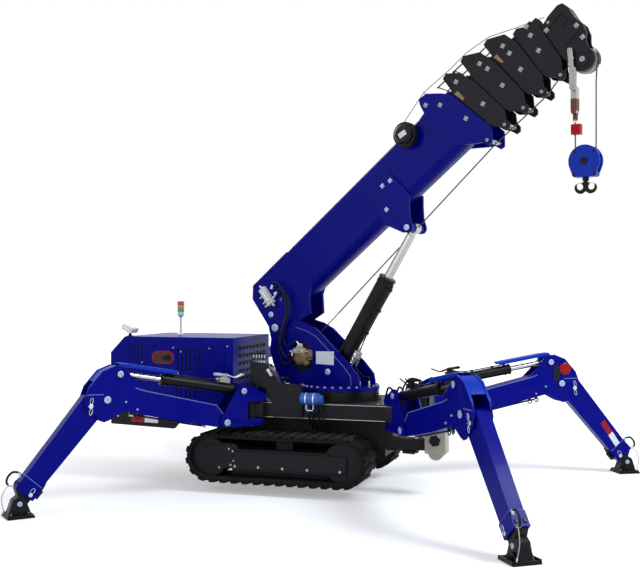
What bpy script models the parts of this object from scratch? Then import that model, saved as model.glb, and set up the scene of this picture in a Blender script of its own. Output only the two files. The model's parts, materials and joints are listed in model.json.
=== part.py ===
"""Spider crane: a telescopic crane on rubber tracks that stands on four jointed outrigger legs.

Metres, +Z up, +X the way the boom points when it is slewed straight ahead.  The near side is -Y.
"""
import math

import bpy
import bmesh
from mathutils import Matrix, Vector

# Frame of the whole machine
SLEW_X = -0.2013         # slew axis in the part's frame, which has its origin under the box of the whole
SLEW_Y = 0.0572
GAP = 0.0003             # seat between two pieces of one body
RUN = 0.006              # running gap between pieces that move past each other
ARM_RUN = 0.0065         # the same beside a leg's arm
PIN_GAP = 0.0005         # side gap of an eye between its bosses

# Tracks
TRACK_WIDTH_OVER = 1.32  # outside of one belt to the outside of the other
BELT_WIDTH = 0.33
BELT_REAR = -1.126       # ends of the belt, from the slew axis
BELT_FRONT = 0.413
BELT_BOTTOM = 0.086      # the legs hold the tracks clear of the ground
BELT_HEIGHT = 0.408
BELT_CARCASS = 0.030
LUG_HEIGHT = 0.016
LUG_COUNT = 36
LUG_SHARE = 0.55
WHEEL_GAP = 0.0006       # between a wheel and the inside of the belt
TRACK_FRAME_OVER = 0.010  # the track frame stands out of the belt on its inner side

# Chassis
DECK_OVER_BELT = 0.109   # room between the belt and the deck's underside
DECK_DEPTH = 0.126
REAR_DECK_LEVEL = BELT_BOTTOM + BELT_HEIGHT + DECK_OVER_BELT
DECK_TOP = REAR_DECK_LEVEL + DECK_DEPTH
DECK_HALF_LENGTH = 0.600
DECK_HALF_WIDTH = 0.425
BELLY_ROOM = 0.070       # between the belly and a track frame
BELLY_HALF_WIDTH = TRACK_WIDTH_OVER / 2 - BELT_WIDTH - TRACK_FRAME_OVER - BELLY_ROOM
BELLY_BOTTOM = BELT_BOTTOM + 0.214
BELLY_REAR = -1.020
BELLY_FRONT = 0.460
REAR_DECK_PLATE = 0.020
REAR_DECK_HALF_WIDTH = 0.400
SKIRT_DEPTH = 0.133
SKIRT_BOTTOM = REAR_DECK_LEVEL - SKIRT_DEPTH
CROSS_BEAMS = (-0.780, 0.020)
CROSS_BEAM_WIDTH = 0.130
CROSS_BEAM_LOW = BELT_BOTTOM + 0.154
CROSS_BEAM_HEIGHT = 0.105
HINGE_X = DECK_HALF_LENGTH + 0.023   # leg hinges, from the slew axis
HINGE_Y = DECK_HALF_WIDTH + 0.032
HINGE_POST_RADIUS = 0.052
HINGE_POST_LOW = REAR_DECK_LEVEL - 0.001
HINGE_POST_HIGH = DECK_TOP + 0.012
HINGE_LUG_SUNK_X = 0.087             # how far a hinge's lug reaches into the deck
HINGE_LUG_SUNK_Y = 0.058
FRONT_ARM_END = DECK_HALF_LENGTH + 0.190
FRONT_ARM_LOW = BELT_BOTTOM + 0.279
FRONT_ARM_HEIGHT = 0.090
FRONT_ARM_Y = (-0.260, -0.140)

# Hood over the engine
HOOD_FRONT = -HINGE_X - 0.177
HOOD_LENGTH = 1.145
HOOD_REAR = HOOD_FRONT - HOOD_LENGTH
REAR_DECK_END = HOOD_REAR - 0.005
SKIRT_FRONT = HOOD_FRONT - 0.500
HOOD_HEIGHT = 0.647
HOOD_TOP = REAR_DECK_LEVEL + HOOD_HEIGHT
HOOD_HALF_WIDTH = 0.420
HOOD_CHAMFER_X = 0.135
HOOD_CHAMFER_Z = 0.140
HOOD_WALL = 0.006
DOOR_X = (HOOD_REAR + 0.340, HOOD_FRONT - 0.080)
DOOR_Z = (HOOD_TOP - 0.330, HOOD_TOP - 0.050)
DOOR_LAP = 0.018
DOOR_THICKNESS = 0.006
ENGINE_LENGTH = 0.620
ENGINE_WIDTH = 0.460
ENGINE_HEIGHT = 0.430
ENGINE_X = HOOD_FRONT - 0.620

# Slew ring and turret, in the slewed plane
SLEW_ANGLE = -16.0       # as parked, turned towards the near side
RING_RADIUS = 0.335
RING_HEIGHT = 0.090
TURRET_DISC_RADIUS = RING_RADIUS + 0.005
TURRET_DISC_HEIGHT = 0.026
TURRET_PLATE = 0.020
BOOM_HALF_WIDTH = 0.110
TURRET_INNER = BOOM_HALF_WIDTH + RUN   # inner face of a side plate from the middle plane
DISC_LOW = DECK_TOP + GAP + RING_HEIGHT + 2 * GAP
DISC_HIGH = DISC_LOW + TURRET_DISC_HEIGHT
PIVOT_S = -0.570         # boom pivot
PIVOT_Z = DISC_HIGH + 0.4761
LUFF_BASE_S = -0.023     # foot of the luff cylinder
LUFF_BASE_Z = DISC_HIGH + 0.1191
DRUM_S = -0.300
DRUM_Z = DISC_HIGH + 0.2341
DRUM_RADIUS = 0.075
DRUM_FLANGE = DRUM_RADIUS + 0.030
DRUM_HALF = 0.085
MOTOR_LENGTH = 0.0845

# Boom, along its axis from the pivot and up from it
LUFF_ANGLE = 38.5
BOOM_LOW = 0.030
BOOM_HIGH = 0.455
BOOM_WALL = 0.006
SECTION_STEP = 0.012     # each section is this much smaller all round than the last
BOOM_TUBE_START = 0.300
PLATE_PROUD = 0.016      # head and lug plates outside the boom's side
PLATE_SUNK = 0.004
LUG_A = 1.526            # eye of the luff cylinder's rod
LUG_B = -0.157
LUFF_ROD_RADIUS = 0.036
LUFF_BARREL_RADIUS = 0.070
LUFF_EYE_RADIUS = 0.042
LUFF_EYE_HALF = 0.040
LUFF_BARREL_TOP = 0.930  # length of the barrel from its foot pin
SHEAVE_A = 3.360
SHEAVE_B = -0.115
SHEAVE_RADIUS = 0.096
SHEAVE_HALF = 0.018
REEL_A = 1.985
REEL_B = 0.415
REEL_RADIUS = 0.100

# One row for each telescopic section after the base
# name, front at mid height, lean of the front, top of the ear, guide pin along the boom, start of the tube
SECTIONS = (
    ("boom_section_1", 2.680, 0.13, 0.568, 2.636, 0.600),
    ("boom_section_2", 2.881, 0.06, 0.572, 2.820, 0.680),
    ("boom_section_3", 3.080, -0.03, 0.536, 2.995, 0.760),
    ("boom_section_4", 3.270, -0.10, 0.430, 3.173, 0.840),
)
BASE_FRONT = 2.503
BASE_LEAN = 0.20
BASE_GUIDE = 2.464
TIP_START = 0.920
MID_B = 0.200            # height at which a front is measured
GUIDE_B = -0.086
HEAD_GAP = 0.008         # between one head and the next when the boom is in

# Hanging gear under the tip, in the slewed plane
LINK_A = 3.311           # pin of the load link on the boom tip
LINK_B = -0.055
BLOCK_DROP = 0.7501       # from the link's pin to the block's axle
BLOCK_RADIUS = 0.118
FALL_SPREAD = 0.155      # between the two falls of rope
ROPE_RADIUS = 0.005

# Legs: pins in the leg's own plane, out from the hinge and up from the ground
RAM_R = 0.1167           # foot pin of the lift cylinder
RAM_Z = DECK_TOP + 0.1028
ARM_R = 0.2650           # pin of the arm
ARM_Z = DECK_TOP - 0.1423
ARM_LENGTH = 1.0139
ARM_PITCH = 13.43
KNEE_ANGLE = -61.75      # of the lower leg against the arm
ROD_X = ARM_LENGTH - 0.0552   # rod eye's pin on the arm
ROD_Y = 0.2082
FOOT_PIN = 0.099
ARM_HALF = 0.072
ARM_PLATE = 0.014
BRACKET_INNER = ARM_HALF + ARM_RUN
BRACKET_PLATE = 0.014
LEG_HALF = ARM_HALF - ARM_PLATE - RUN
LEG_WALL = 0.006
INNER_LEG_GAP = 0.002
INNER_LEG_HALF = LEG_HALF - LEG_WALL - INNER_LEG_GAP
LEG_ROOT_OUT = 0.146        # the lower leg is deepest just under the knee
LEG_DEPTH_OUT = 0.098
LEG_DEPTH_IN = 0.052
LEG_BOX_END = 0.900
COLLAR_LENGTH = 0.110
RAM_RADIUS = 0.042
RAM_ROD_RADIUS = 0.022
RAM_EYE = 0.036
RAM_BARREL = 0.690
PAD_SIZE = 0.196
PAD_PLATE = 0.012

# name, side of the hinge along X, side along Y, swing outwards from the machine's X axis
LEGS = (
    ("rear_near", -1, -1, 48.4),
    ("front_near", 1, -1, 54.0),
    ("front_far", 1, 1, 28.4),
    ("rear_far", -1, 1, 48.4),
)

# name, colour, roughness, metallic
FINISHES = {
    "blue": ((0.012, 0.016, 0.30), 0.32, 0.0),
    "dark": ((0.028, 0.027, 0.032), 0.48, 0.1),
    "black": ((0.012, 0.011, 0.012), 0.55, 0.0),
    "rubber": ((0.014, 0.014, 0.015), 0.85, 0.0),
    "chrome": ((0.62, 0.61, 0.62), 0.22, 1.0),
    "steel": ((0.36, 0.35, 0.34), 0.40, 0.9),
    "bronze": ((0.34, 0.27, 0.19), 0.50, 0.4),
    "cap_blue": ((0.010, 0.10, 0.42), 0.40, 0.0),
    "red": ((0.55, 0.015, 0.02), 0.45, 0.0),
    "lamp": ((0.75, 0.74, 0.70), 0.25, 0.0),
    "engine": ((0.10, 0.10, 0.11), 0.60, 0.3),
}

for old in list(bpy.data.objects):
    bpy.data.objects.remove(old, do_unlink=True)

PARTS = bpy.data.collections.new("spider_crane")
HELPERS = bpy.data.collections.new("cutters")
bpy.context.scene.collection.children.link(PARTS)
bpy.context.scene.collection.children.link(HELPERS)
MATERIALS = {}


def material(finish):
    """The named finish as a Principled material, made once."""
    if finish not in MATERIALS:
        colour, roughness, metallic = FINISHES[finish]
        made = bpy.data.materials.new(finish)
        made.use_nodes = True
        shader = made.node_tree.nodes["Principled BSDF"]
        shader.inputs["Base Color"].default_value = (*colour, 1.0)
        shader.inputs["Roughness"].default_value = roughness
        shader.inputs["Metallic"].default_value = metallic
        MATERIALS[finish] = made
    return MATERIALS[finish]


def frame(x, y, z, heading=0.0, pitch=0.0):
    """Local X points along heading and pitch, local Y up from it, local Z sideways."""
    h, p = math.radians(heading), math.radians(pitch)
    ahead = Vector((math.cos(h), math.sin(h), 0.0))
    up = Vector((0.0, 0.0, 1.0))
    along = ahead * math.cos(p) + up * math.sin(p)
    rise = up * math.cos(p) - ahead * math.sin(p)
    side = along.cross(rise)
    made = Matrix((along, rise, side)).transposed().to_4x4()
    made.translation = Vector((x + SLEW_X, y + SLEW_Y, z))
    return made


def level(x=0.0, y=0.0, z=0.0):
    """Local axes along the machine's own X, Y and Z."""
    return Matrix.Translation((x + SLEW_X, y + SLEW_Y, z))


def shift(matrix, x=0.0, y=0.0, z=0.0, turn=0.0):
    """The frame moved along its own axes and turned about its local Z."""
    return matrix @ Matrix.Translation((x, y, z)) @ Matrix.Rotation(math.radians(turn), 4, "Z")


def helper(mesh, matrix):
    """An object for the mesh, kept with the cutters until a node takes it."""
    made = bpy.data.objects.new("piece", mesh)
    made.matrix_world = matrix
    made.hide_render = True
    made.display_type = "WIRE"
    HELPERS.objects.link(made)
    return made


def box(matrix, low, high):
    """A box between two corners in the frame's axes."""
    mesh = bpy.data.meshes.new("box")
    shape = bmesh.new()
    size = [h - l for l, h in zip(low, high)]
    middle = [(h + l) / 2 for l, h in zip(low, high)]
    bmesh.ops.create_cube(shape, size=1.0, matrix=Matrix.Translation(middle) @ Matrix.Diagonal((*size, 1.0)))
    shape.to_mesh(mesh)
    shape.free()
    return helper(mesh, matrix)


def boxes(matrix, corners):
    """Several boxes that don't touch, as one cutter."""
    mesh = bpy.data.meshes.new("boxes")
    shape = bmesh.new()
    for low, high in corners:
        size = [h - l for l, h in zip(low, high)]
        middle = [(h + l) / 2 for l, h in zip(low, high)]
        bmesh.ops.create_cube(shape, size=1.0, matrix=Matrix.Translation(middle) @ Matrix.Diagonal((*size, 1.0)))
    shape.to_mesh(mesh)
    shape.free()
    return helper(mesh, matrix)


TURN = {
    "x": Matrix.Rotation(math.radians(90), 4, "Y"),
    "y": Matrix.Rotation(math.radians(-90), 4, "X"),
    "z": Matrix.Identity(4),
}


def rod(matrix, centre, axis, radius, length, sides=20, radius_end=None):
    """A cylinder or cone about one of the frame's axes, from its middle point."""
    mesh = bpy.data.meshes.new("rod")
    shape = bmesh.new()
    bmesh.ops.create_cone(
        shape, cap_ends=True, segments=sides, radius1=radius,
        radius2=radius if radius_end is None else radius_end, depth=length,
        matrix=Matrix.Translation(centre) @ TURN[axis] @ Matrix.Rotation(math.pi / sides, 4, "Z"))
    shape.to_mesh(mesh)
    shape.free()
    return helper(mesh, matrix)


def plate(matrix, outline, low, high, holes=()):
    """A flat outline in the frame's X and Y, thick from low to high along its Z."""
    curve = bpy.data.curves.new("outline", "CURVE")
    curve.dimensions = "2D"
    curve.fill_mode = "BOTH"
    curve.extrude = (high - low) / 2
    for points in (outline, *holes):
        spline = curve.splines.new("POLY")
        spline.points.add(len(points) - 1)
        for point, (x, y) in zip(spline.points, points):
            point.co = (x, y, 0.0, 1.0)
        spline.use_cyclic_u = True
    sheet = bpy.data.objects.new("sheet", curve)
    sheet.location = (0.0, 0.0, (low + high) / 2)
    HELPERS.objects.link(sheet)
    bpy.context.view_layer.update()
    mesh = bpy.data.meshes.new_from_object(sheet.evaluated_get(bpy.context.evaluated_depsgraph_get()))
    mesh.transform(sheet.matrix_world)
    bpy.data.objects.remove(sheet, do_unlink=True)
    shape = bmesh.new()
    shape.from_mesh(mesh)
    bmesh.ops.remove_doubles(shape, verts=shape.verts, dist=0.00001)
    bmesh.ops.recalc_face_normals(shape, faces=shape.faces)
    shape.to_mesh(mesh)
    shape.free()
    return helper(mesh, matrix)


def turned(matrix, profile, steps=24):
    """A profile of radius and height turned about the frame's Z, listed from its top to its bottom."""
    mesh = bpy.data.meshes.new("turned")
    points = [(radius, 0.0, height) for radius, height in profile]
    mesh.from_pydata(points, [(i, i + 1) for i in range(len(points) - 1)], [])
    made = helper(mesh, matrix)
    screw = made.modifiers.new("turn", "SCREW")
    screw.axis = "Z"
    screw.steps = steps
    screw.render_steps = steps
    screw.use_merge_vertices = True
    screw.merge_threshold = 0.00005
    screw.use_smooth_shade = False
    return made


def arc(x, y, radius, start, end, count):
    """Points on an arc, angles in degrees."""
    steps = [math.radians(start + (end - start) * i / (count - 1)) for i in range(count)]
    return [(x + radius * math.cos(a), y + radius * math.sin(a)) for a in steps]


def node(name, finish, base, joined=(), cut=(), added=()):
    """The base piece with others joined to it, then cut, then more joined, as one named object."""
    base.name = name
    base.data.name = name
    HELPERS.objects.unlink(base)
    PARTS.objects.link(base)
    base.hide_render = False
    base.display_type = "TEXTURED"
    number = 0
    for operation, pieces in (("UNION", joined), ("DIFFERENCE", cut), ("UNION", added)):
        for piece in pieces:
            number += 1
            piece.name = f"{name}_piece_{number}"
            change = base.modifiers.new(f"{operation.lower()}_{number}", "BOOLEAN")
            change.operation = operation
            change.solver = "EXACT"
            change.object = piece
    base.data.materials.clear()
    base.data.materials.append(material(finish))
    return base


# Tracks: a belt with its lugs, and the frame with its wheels inside it

BELT_OUTER = BELT_HEIGHT / 2
BELT_MID = (BELT_REAR + BELT_FRONT) / 2
BELT_STRAIGHT = (BELT_FRONT - BELT_REAR) / 2 - BELT_OUTER
BELT_AXIS = BELT_BOTTOM + BELT_OUTER


def belt_point(share, radius):
    """A point on the belt's stadium at a share of its length, at a radius from the wheel axes."""
    pitch_radius = BELT_OUTER - LUG_HEIGHT
    straight, bend = 2 * BELT_STRAIGHT, math.pi * pitch_radius
    way = (share % 1.0) * (2 * straight + 2 * bend)
    if way < straight:
        return BELT_STRAIGHT - way, radius
    way -= straight
    if way < bend:
        angle = math.pi / 2 + way / pitch_radius
        return -BELT_STRAIGHT + radius * math.cos(angle), radius * math.sin(angle)
    way -= bend
    if way < straight:
        return -BELT_STRAIGHT + way, -radius
    angle = -math.pi / 2 + (way - straight) / pitch_radius
    return BELT_STRAIGHT + radius * math.cos(angle), radius * math.sin(angle)


def belt_outline():
    """The outer side of the belt, with one raised lug for each shoe."""
    points = []
    low, high = BELT_OUTER - LUG_HEIGHT, BELT_OUTER
    for shoe in range(LUG_COUNT):
        for part, radius in ((0.0, low), (0.06, high), (LUG_SHARE, high), (LUG_SHARE + 0.06, low)):
            points.append(belt_point((shoe + part) / LUG_COUNT, radius))
    return points


BELT_INSIDE = BELT_OUTER - LUG_HEIGHT - BELT_CARCASS
WHEEL_RADIUS = BELT_INSIDE - WHEEL_GAP
for side, sign in (("near", -1), ("far", 1)):
    outer = sign * TRACK_WIDTH_OVER / 2
    inner = sign * (TRACK_WIDTH_OVER / 2 - BELT_WIDTH)
    # local Z points to the near side in this frame
    across = frame(BELT_MID, 0.0, BELT_AXIS)
    low, high = sorted((-outer, -inner))
    hollow = (arc(BELT_STRAIGHT, 0, BELT_INSIDE, -90, 90, 13) + arc(-BELT_STRAIGHT, 0, BELT_INSIDE, 90, 270, 13))
    belt = plate(across, belt_outline(), low, high, holes=[hollow])
    node(f"track_{side}", "rubber", belt)

    outboard = sign * (TRACK_WIDTH_OVER / 2 - 0.028)
    inboard = sign * (TRACK_WIDTH_OVER / 2 - BELT_WIDTH - TRACK_FRAME_OVER)
    low, high = sorted((-outboard, -inboard))
    mid = (low + high) / 2
    body = plate(across, [(-0.46, -0.085), (0.44, -0.085), (0.44, 0.070), (-0.30, 0.070), (-0.34, 0.115),
                          (-0.46, 0.115)], low, high)
    wheels = [plate(across, arc(x, 0.0, WHEEL_RADIUS, 0, 345, 24), low + 0.010, high - 0.010)
              for x in (-BELT_STRAIGHT, BELT_STRAIGHT)]
    carrier = box(across, (-0.02, 0.03, mid - 0.05), (0.12, WHEEL_RADIUS - 0.010, mid + 0.05))
    guard = box(across, (-0.40, -WHEEL_RADIUS + 0.010, mid - 0.07), (0.42, -0.05, mid + 0.07))
    node(f"track_frame_{side}", "dark", body, joined=[*wheels, carrier, guard])

# Chassis: deck, belly, rear deck with its skirt, cross beams, hinge posts and the arm at the front

flat = level()
deck = box(flat, (-DECK_HALF_LENGTH, -DECK_HALF_WIDTH, DECK_TOP - DECK_DEPTH),
           (DECK_HALF_LENGTH, DECK_HALF_WIDTH, DECK_TOP))
joined = [
    box(flat, (BELLY_REAR, -BELLY_HALF_WIDTH, BELLY_BOTTOM),
        (BELLY_FRONT, BELLY_HALF_WIDTH, REAR_DECK_LEVEL - 0.006)),
    box(flat, (-DECK_HALF_LENGTH + 0.060, -BELLY_HALF_WIDTH + 0.010, REAR_DECK_LEVEL - 0.040),
        (BELLY_FRONT - 0.010, BELLY_HALF_WIDTH - 0.010, REAR_DECK_LEVEL + 0.006)),
    box(flat, (REAR_DECK_END, -REAR_DECK_HALF_WIDTH, REAR_DECK_LEVEL - REAR_DECK_PLATE),
        (HOOD_FRONT + 0.010, REAR_DECK_HALF_WIDTH, REAR_DECK_LEVEL)),
    box(flat, (HOOD_FRONT, -BELLY_HALF_WIDTH - 0.020, REAR_DECK_LEVEL - REAR_DECK_PLATE),
        (-DECK_HALF_LENGTH + 0.05, BELLY_HALF_WIDTH + 0.020, REAR_DECK_LEVEL)),
]
skirt = [(REAR_DECK_END, SKIRT_BOTTOM + 0.02), (SKIRT_FRONT - 0.05, SKIRT_BOTTOM),
         (SKIRT_FRONT, SKIRT_BOTTOM + 0.06),
         (HOOD_FRONT - 0.200, SKIRT_BOTTOM + 0.06), (HOOD_FRONT - 0.200, REAR_DECK_LEVEL - 0.010),
         (REAR_DECK_END, REAR_DECK_LEVEL - 0.010)]
upright = frame(0.0, 0.0, 0.0)
for sign in (-1, 1):
    low, high = sorted((sign * (REAR_DECK_HALF_WIDTH + 0.004), sign * (REAR_DECK_HALF_WIDTH - 0.030)))
    joined.append(plate(upright, skirt, low, high))
joined.append(box(flat, (REAR_DECK_END - 0.004, -REAR_DECK_HALF_WIDTH, SKIRT_BOTTOM + 0.02),
                  (REAR_DECK_END + 0.030, REAR_DECK_HALF_WIDTH, REAR_DECK_LEVEL - 0.006)))
REACH = TRACK_WIDTH_OVER / 2 - BELT_WIDTH - TRACK_FRAME_OVER - GAP
for x in CROSS_BEAMS:
    joined.append(box(flat, (x - CROSS_BEAM_WIDTH / 2, -REACH, CROSS_BEAM_LOW),
                      (x + CROSS_BEAM_WIDTH / 2, REACH, CROSS_BEAM_LOW + CROSS_BEAM_HEIGHT)))
for name, sx, sy, swing in LEGS:
    hx, hy = sx * HINGE_X, sy * HINGE_Y
    joined.append(rod(flat, (hx, hy, (HINGE_POST_LOW + HINGE_POST_HIGH) / 2), "z", HINGE_POST_RADIUS,
                      HINGE_POST_HIGH - HINGE_POST_LOW, 20))
    xs = sorted((hx + sx * 0.020, sx * (DECK_HALF_LENGTH - HINGE_LUG_SUNK_X)))
    ys = sorted((hy + sy * 0.020, sy * (DECK_HALF_WIDTH - HINGE_LUG_SUNK_Y)))
    joined.append(box(flat, (xs[0], ys[0], HINGE_POST_LOW + 0.008), (xs[1], ys[1], DECK_TOP - 0.006)))
FRONT_ARM_HIGH = FRONT_ARM_LOW + FRONT_ARM_HEIGHT
ARM_ROOT = DECK_HALF_LENGTH - 0.200
joined.append(box(flat, (ARM_ROOT, FRONT_ARM_Y[0], FRONT_ARM_LOW),
                  (FRONT_ARM_END, FRONT_ARM_Y[1], FRONT_ARM_HIGH)))
joined.append(box(flat, (ARM_ROOT, FRONT_ARM_Y[0] + 0.020, FRONT_ARM_HIGH - 0.010),
                  (ARM_ROOT + 0.120, FRONT_ARM_Y[1] - 0.020, REAR_DECK_LEVEL + 0.037)))
node("chassis_frame", "dark", deck, joined=joined)

ring = rod(flat, (0, 0, DECK_TOP + GAP + RING_HEIGHT / 2), "z", RING_RADIUS, RING_HEIGHT, 40)
node("slew_ring", "black", ring)

case = level(FRONT_ARM_END + GAP, FRONT_ARM_Y[0] - 0.025, FRONT_ARM_LOW - 0.020)
front_box = box(case, (0, 0, 0), (0.170, 0.150, 0.225))
node("front_gear_case", "bronze", front_box, joined=[
    rod(case, (0.085, -0.003, 0.107), "y", 0.046, 0.030, 6),
    rod(case, (0.085, 0.075, 0.005), "y", 0.060, 0.120, 16)])

# Engine, hood with its side doors, lamp and display

seat = REAR_DECK_LEVEL + GAP
engine = box(flat, (ENGINE_X - ENGINE_LENGTH / 2, -ENGINE_WIDTH / 2, seat),
             (ENGINE_X + ENGINE_LENGTH / 2, ENGINE_WIDTH / 2, seat + ENGINE_HEIGHT))
node("engine_block", "engine", engine)


def hood_outline(inset, bottom):
    """The hood seen from the side, drawn in by inset."""
    slope = inset * math.tan(math.radians(22.5))
    return [(HOOD_REAR + inset, bottom), (HOOD_FRONT - inset, bottom), (HOOD_FRONT - inset, HOOD_TOP - inset),
            (HOOD_REAR + HOOD_CHAMFER_X + slope, HOOD_TOP - inset),
            (HOOD_REAR + inset, HOOD_TOP - HOOD_CHAMFER_Z - slope)]


def slots(x0, x1, z0, z1, columns, rows, y0, y1, width=0.016, space=0.018):
    """Corners of a grid of upright slots, cut along Y."""
    pitch = (x1 - x0) / columns
    height = (z1 - z0 - space * (rows - 1)) / rows
    cells = []
    for column in range(columns):
        for row in range(rows):
            x = x0 + pitch * (column + 0.5)
            z = z0 + (height + space) * row
            cells.append(((x - width / 2, y0, z), (x + width / 2, y1, z + height)))
    return cells


shell = plate(upright, hood_outline(0.0, seat), -HOOD_HALF_WIDTH, HOOD_HALF_WIDTH)
inside = plate(upright, hood_outline(HOOD_WALL, seat - 0.02), -HOOD_HALF_WIDTH + HOOD_WALL,
               HOOD_HALF_WIDTH - HOOD_WALL)
opening = box(flat, (DOOR_X[0] + DOOR_LAP, -HOOD_HALF_WIDTH - 0.02, DOOR_Z[0] + DOOR_LAP),
              (DOOR_X[1] - DOOR_LAP, HOOD_HALF_WIDTH + 0.02, DOOR_Z[1] - DOOR_LAP))
side_low, side_high = -HOOD_HALF_WIDTH - 0.02, HOOD_HALF_WIDTH + 0.02
# x from, x to, z from, z to, columns, rows
SIDE_GRILLES = ((HOOD_REAR + 0.190, HOOD_REAR + 0.318, HOOD_TOP - 0.195, HOOD_TOP - 0.070, 4, 1),
                (HOOD_FRONT - 0.540, HOOD_FRONT - 0.280, REAR_DECK_LEVEL + 0.137, REAR_DECK_LEVEL + 0.257, 6,
                 1))
cells = []
for x0, x1, z0, z1, columns, rows in SIDE_GRILLES:
    cells += slots(x0, x1, z0, z1, columns, rows, side_low, side_high)
front_cells = []
for row in range(6):
    z = HOOD_TOP - 0.430 + 0.064 * row
    front_cells.append(((HOOD_FRONT - 0.02, -HOOD_HALF_WIDTH + 0.090, z),
                        (HOOD_FRONT + 0.02, HOOD_HALF_WIDTH - 0.090, z + 0.030)))
node("hood", "blue", shell, cut=[inside, opening, boxes(flat, cells), boxes(flat, front_cells)])

DOOR_GRILLE = (HOOD_FRONT - 0.520, HOOD_FRONT - 0.290, DOOR_Z[0] + 0.045, DOOR_Z[1] - 0.050, 6, 1)
for side, sign in (("near", -1), ("far", 1)):
    y0, y1 = sorted((sign * (HOOD_HALF_WIDTH + GAP), sign * (HOOD_HALF_WIDTH + GAP + DOOR_THICKNESS)))
    hinge_y = sign * (HOOD_HALF_WIDTH + GAP + DOOR_THICKNESS)
    here = level(0.0, hinge_y, DOOR_Z[1])
    panel = box(here, (DOOR_X[0], y0 - hinge_y, DOOR_Z[0] - DOOR_Z[1]), (DOOR_X[1], y1 - hinge_y, 0.0))
    holes = slots(*DOOR_GRILLE, y0 - hinge_y - 0.01, y1 - hinge_y + 0.01)
    holes = [((a[0], a[1], a[2] - DOOR_Z[1]), (b[0], b[1], b[2] - DOOR_Z[1])) for a, b in holes]
    yh = sorted((0.0, sign * 0.022))
    handle = box(here, (DOOR_X[0] + 0.060, yh[0] - sign * 0.001, DOOR_Z[0] - DOOR_Z[1] + 0.030),
                 (DOOR_X[0] + 0.160, yh[1], DOOR_Z[0] - DOOR_Z[1] + 0.046))
    node(f"hood_door_{side}", "blue", panel, joined=[handle], cut=[boxes(here, holes)])

LAMP_X, LAMP_Y = HOOD_FRONT - 0.680, 0.0
lamp = level(LAMP_X, LAMP_Y, HOOD_TOP + GAP)
foot = turned(lamp, [(0.0, 0.300), (0.027, 0.300), (0.030, 0.294), (0.030, 0.171), (0.013, 0.160),
                     (0.013, 0.012),
                     (0.034, 0.008), (0.034, 0.0), (0.0, 0.0)], 18)
node("tower_lamp", "lamp", foot)

screen = level(HOOD_REAR + 0.155, -HOOD_HALF_WIDTH + 0.060, HOOD_TOP + GAP)
stalk = rod(screen, (0, 0, 0.024), "z", 0.012, 0.048, 12)
tilted = screen @ Matrix.Translation((0.0, 0.0, 0.068)) @ Matrix.Rotation(math.radians(25), 4, "Y")
node("display", "lamp", stalk, joined=[box(tilted, (-0.052, -0.062, -0.026), (0.052, 0.062, 0.022))])

# Control box on the near side, cut away for the turret's tail, with its row of levers, and the oil filter

BOX_NEAR = -DECK_HALF_WIDTH - GAP
# from the rear near hinge and up from the deck
box_outline = [(-0.017, 0.338), (0.134, 0.311), (0.163, 0.256), (0.194, 0.214), (0.223, 0.176),
               (0.253, 0.154),
               (0.431, 0.148), (0.437, -0.117), (0.176, -0.117), (0.176, 0.005), (0.137, 0.038), (0.133, 0.106),
               (0.063, 0.124), (0.023, 0.152), (-0.007, 0.180)]
panel_frame = frame(-HINGE_X, 0.0, DECK_TOP)
control = plate(panel_frame, box_outline, -BOX_NEAR, -BOX_NEAR + 0.020)
bench = level(-HINGE_X, BOX_NEAR, DECK_TOP)
levers = [rod(bench, (0.005 + 0.024 * i, 0.006, 0.356), "z", 0.006, 0.080, 6) for i in range(5)]
node("control_box", "dark", control, joined=[
    box(bench, (0.176, -0.006, GAP), (0.323, 0.063, 0.139)),
    box(bench, (-0.013, -0.006, 0.196), (0.111, 0.015, 0.307)),
    box(bench, (-0.009, -0.006, 0.301), (0.111, 0.013, 0.321)), *levers])

CAN_RADIUS = 0.050
can_frame = level(-HINGE_X + 0.519, -DECK_HALF_WIDTH - GAP - CAN_RADIUS, DECK_TOP + 0.042)
can = rod(can_frame, (0, 0, 0), "x", CAN_RADIUS, 0.150, 20)
node("oil_filter", "cap_blue", can, joined=[
    rod(can_frame, (0.088, 0, 0), "x", 0.034, 0.030, 20),
    box(can_frame, (-0.040, 0.020, -0.110), (0.040, CAN_RADIUS, 0.028))])

# Turret: disc, two side plates, cross plate, and bosses at the pins

ahead = frame(0.0, 0.0, 0.0, SLEW_ANGLE)
turntable = level(0.0, 0.0, 0.0)
disc = rod(turntable, (0, 0, (DISC_LOW + DISC_HIGH) / 2), "z", TURRET_DISC_RADIUS, TURRET_DISC_HEIGHT, 40)
TURRET_OUTER = TURRET_INNER + TURRET_PLATE
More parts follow.
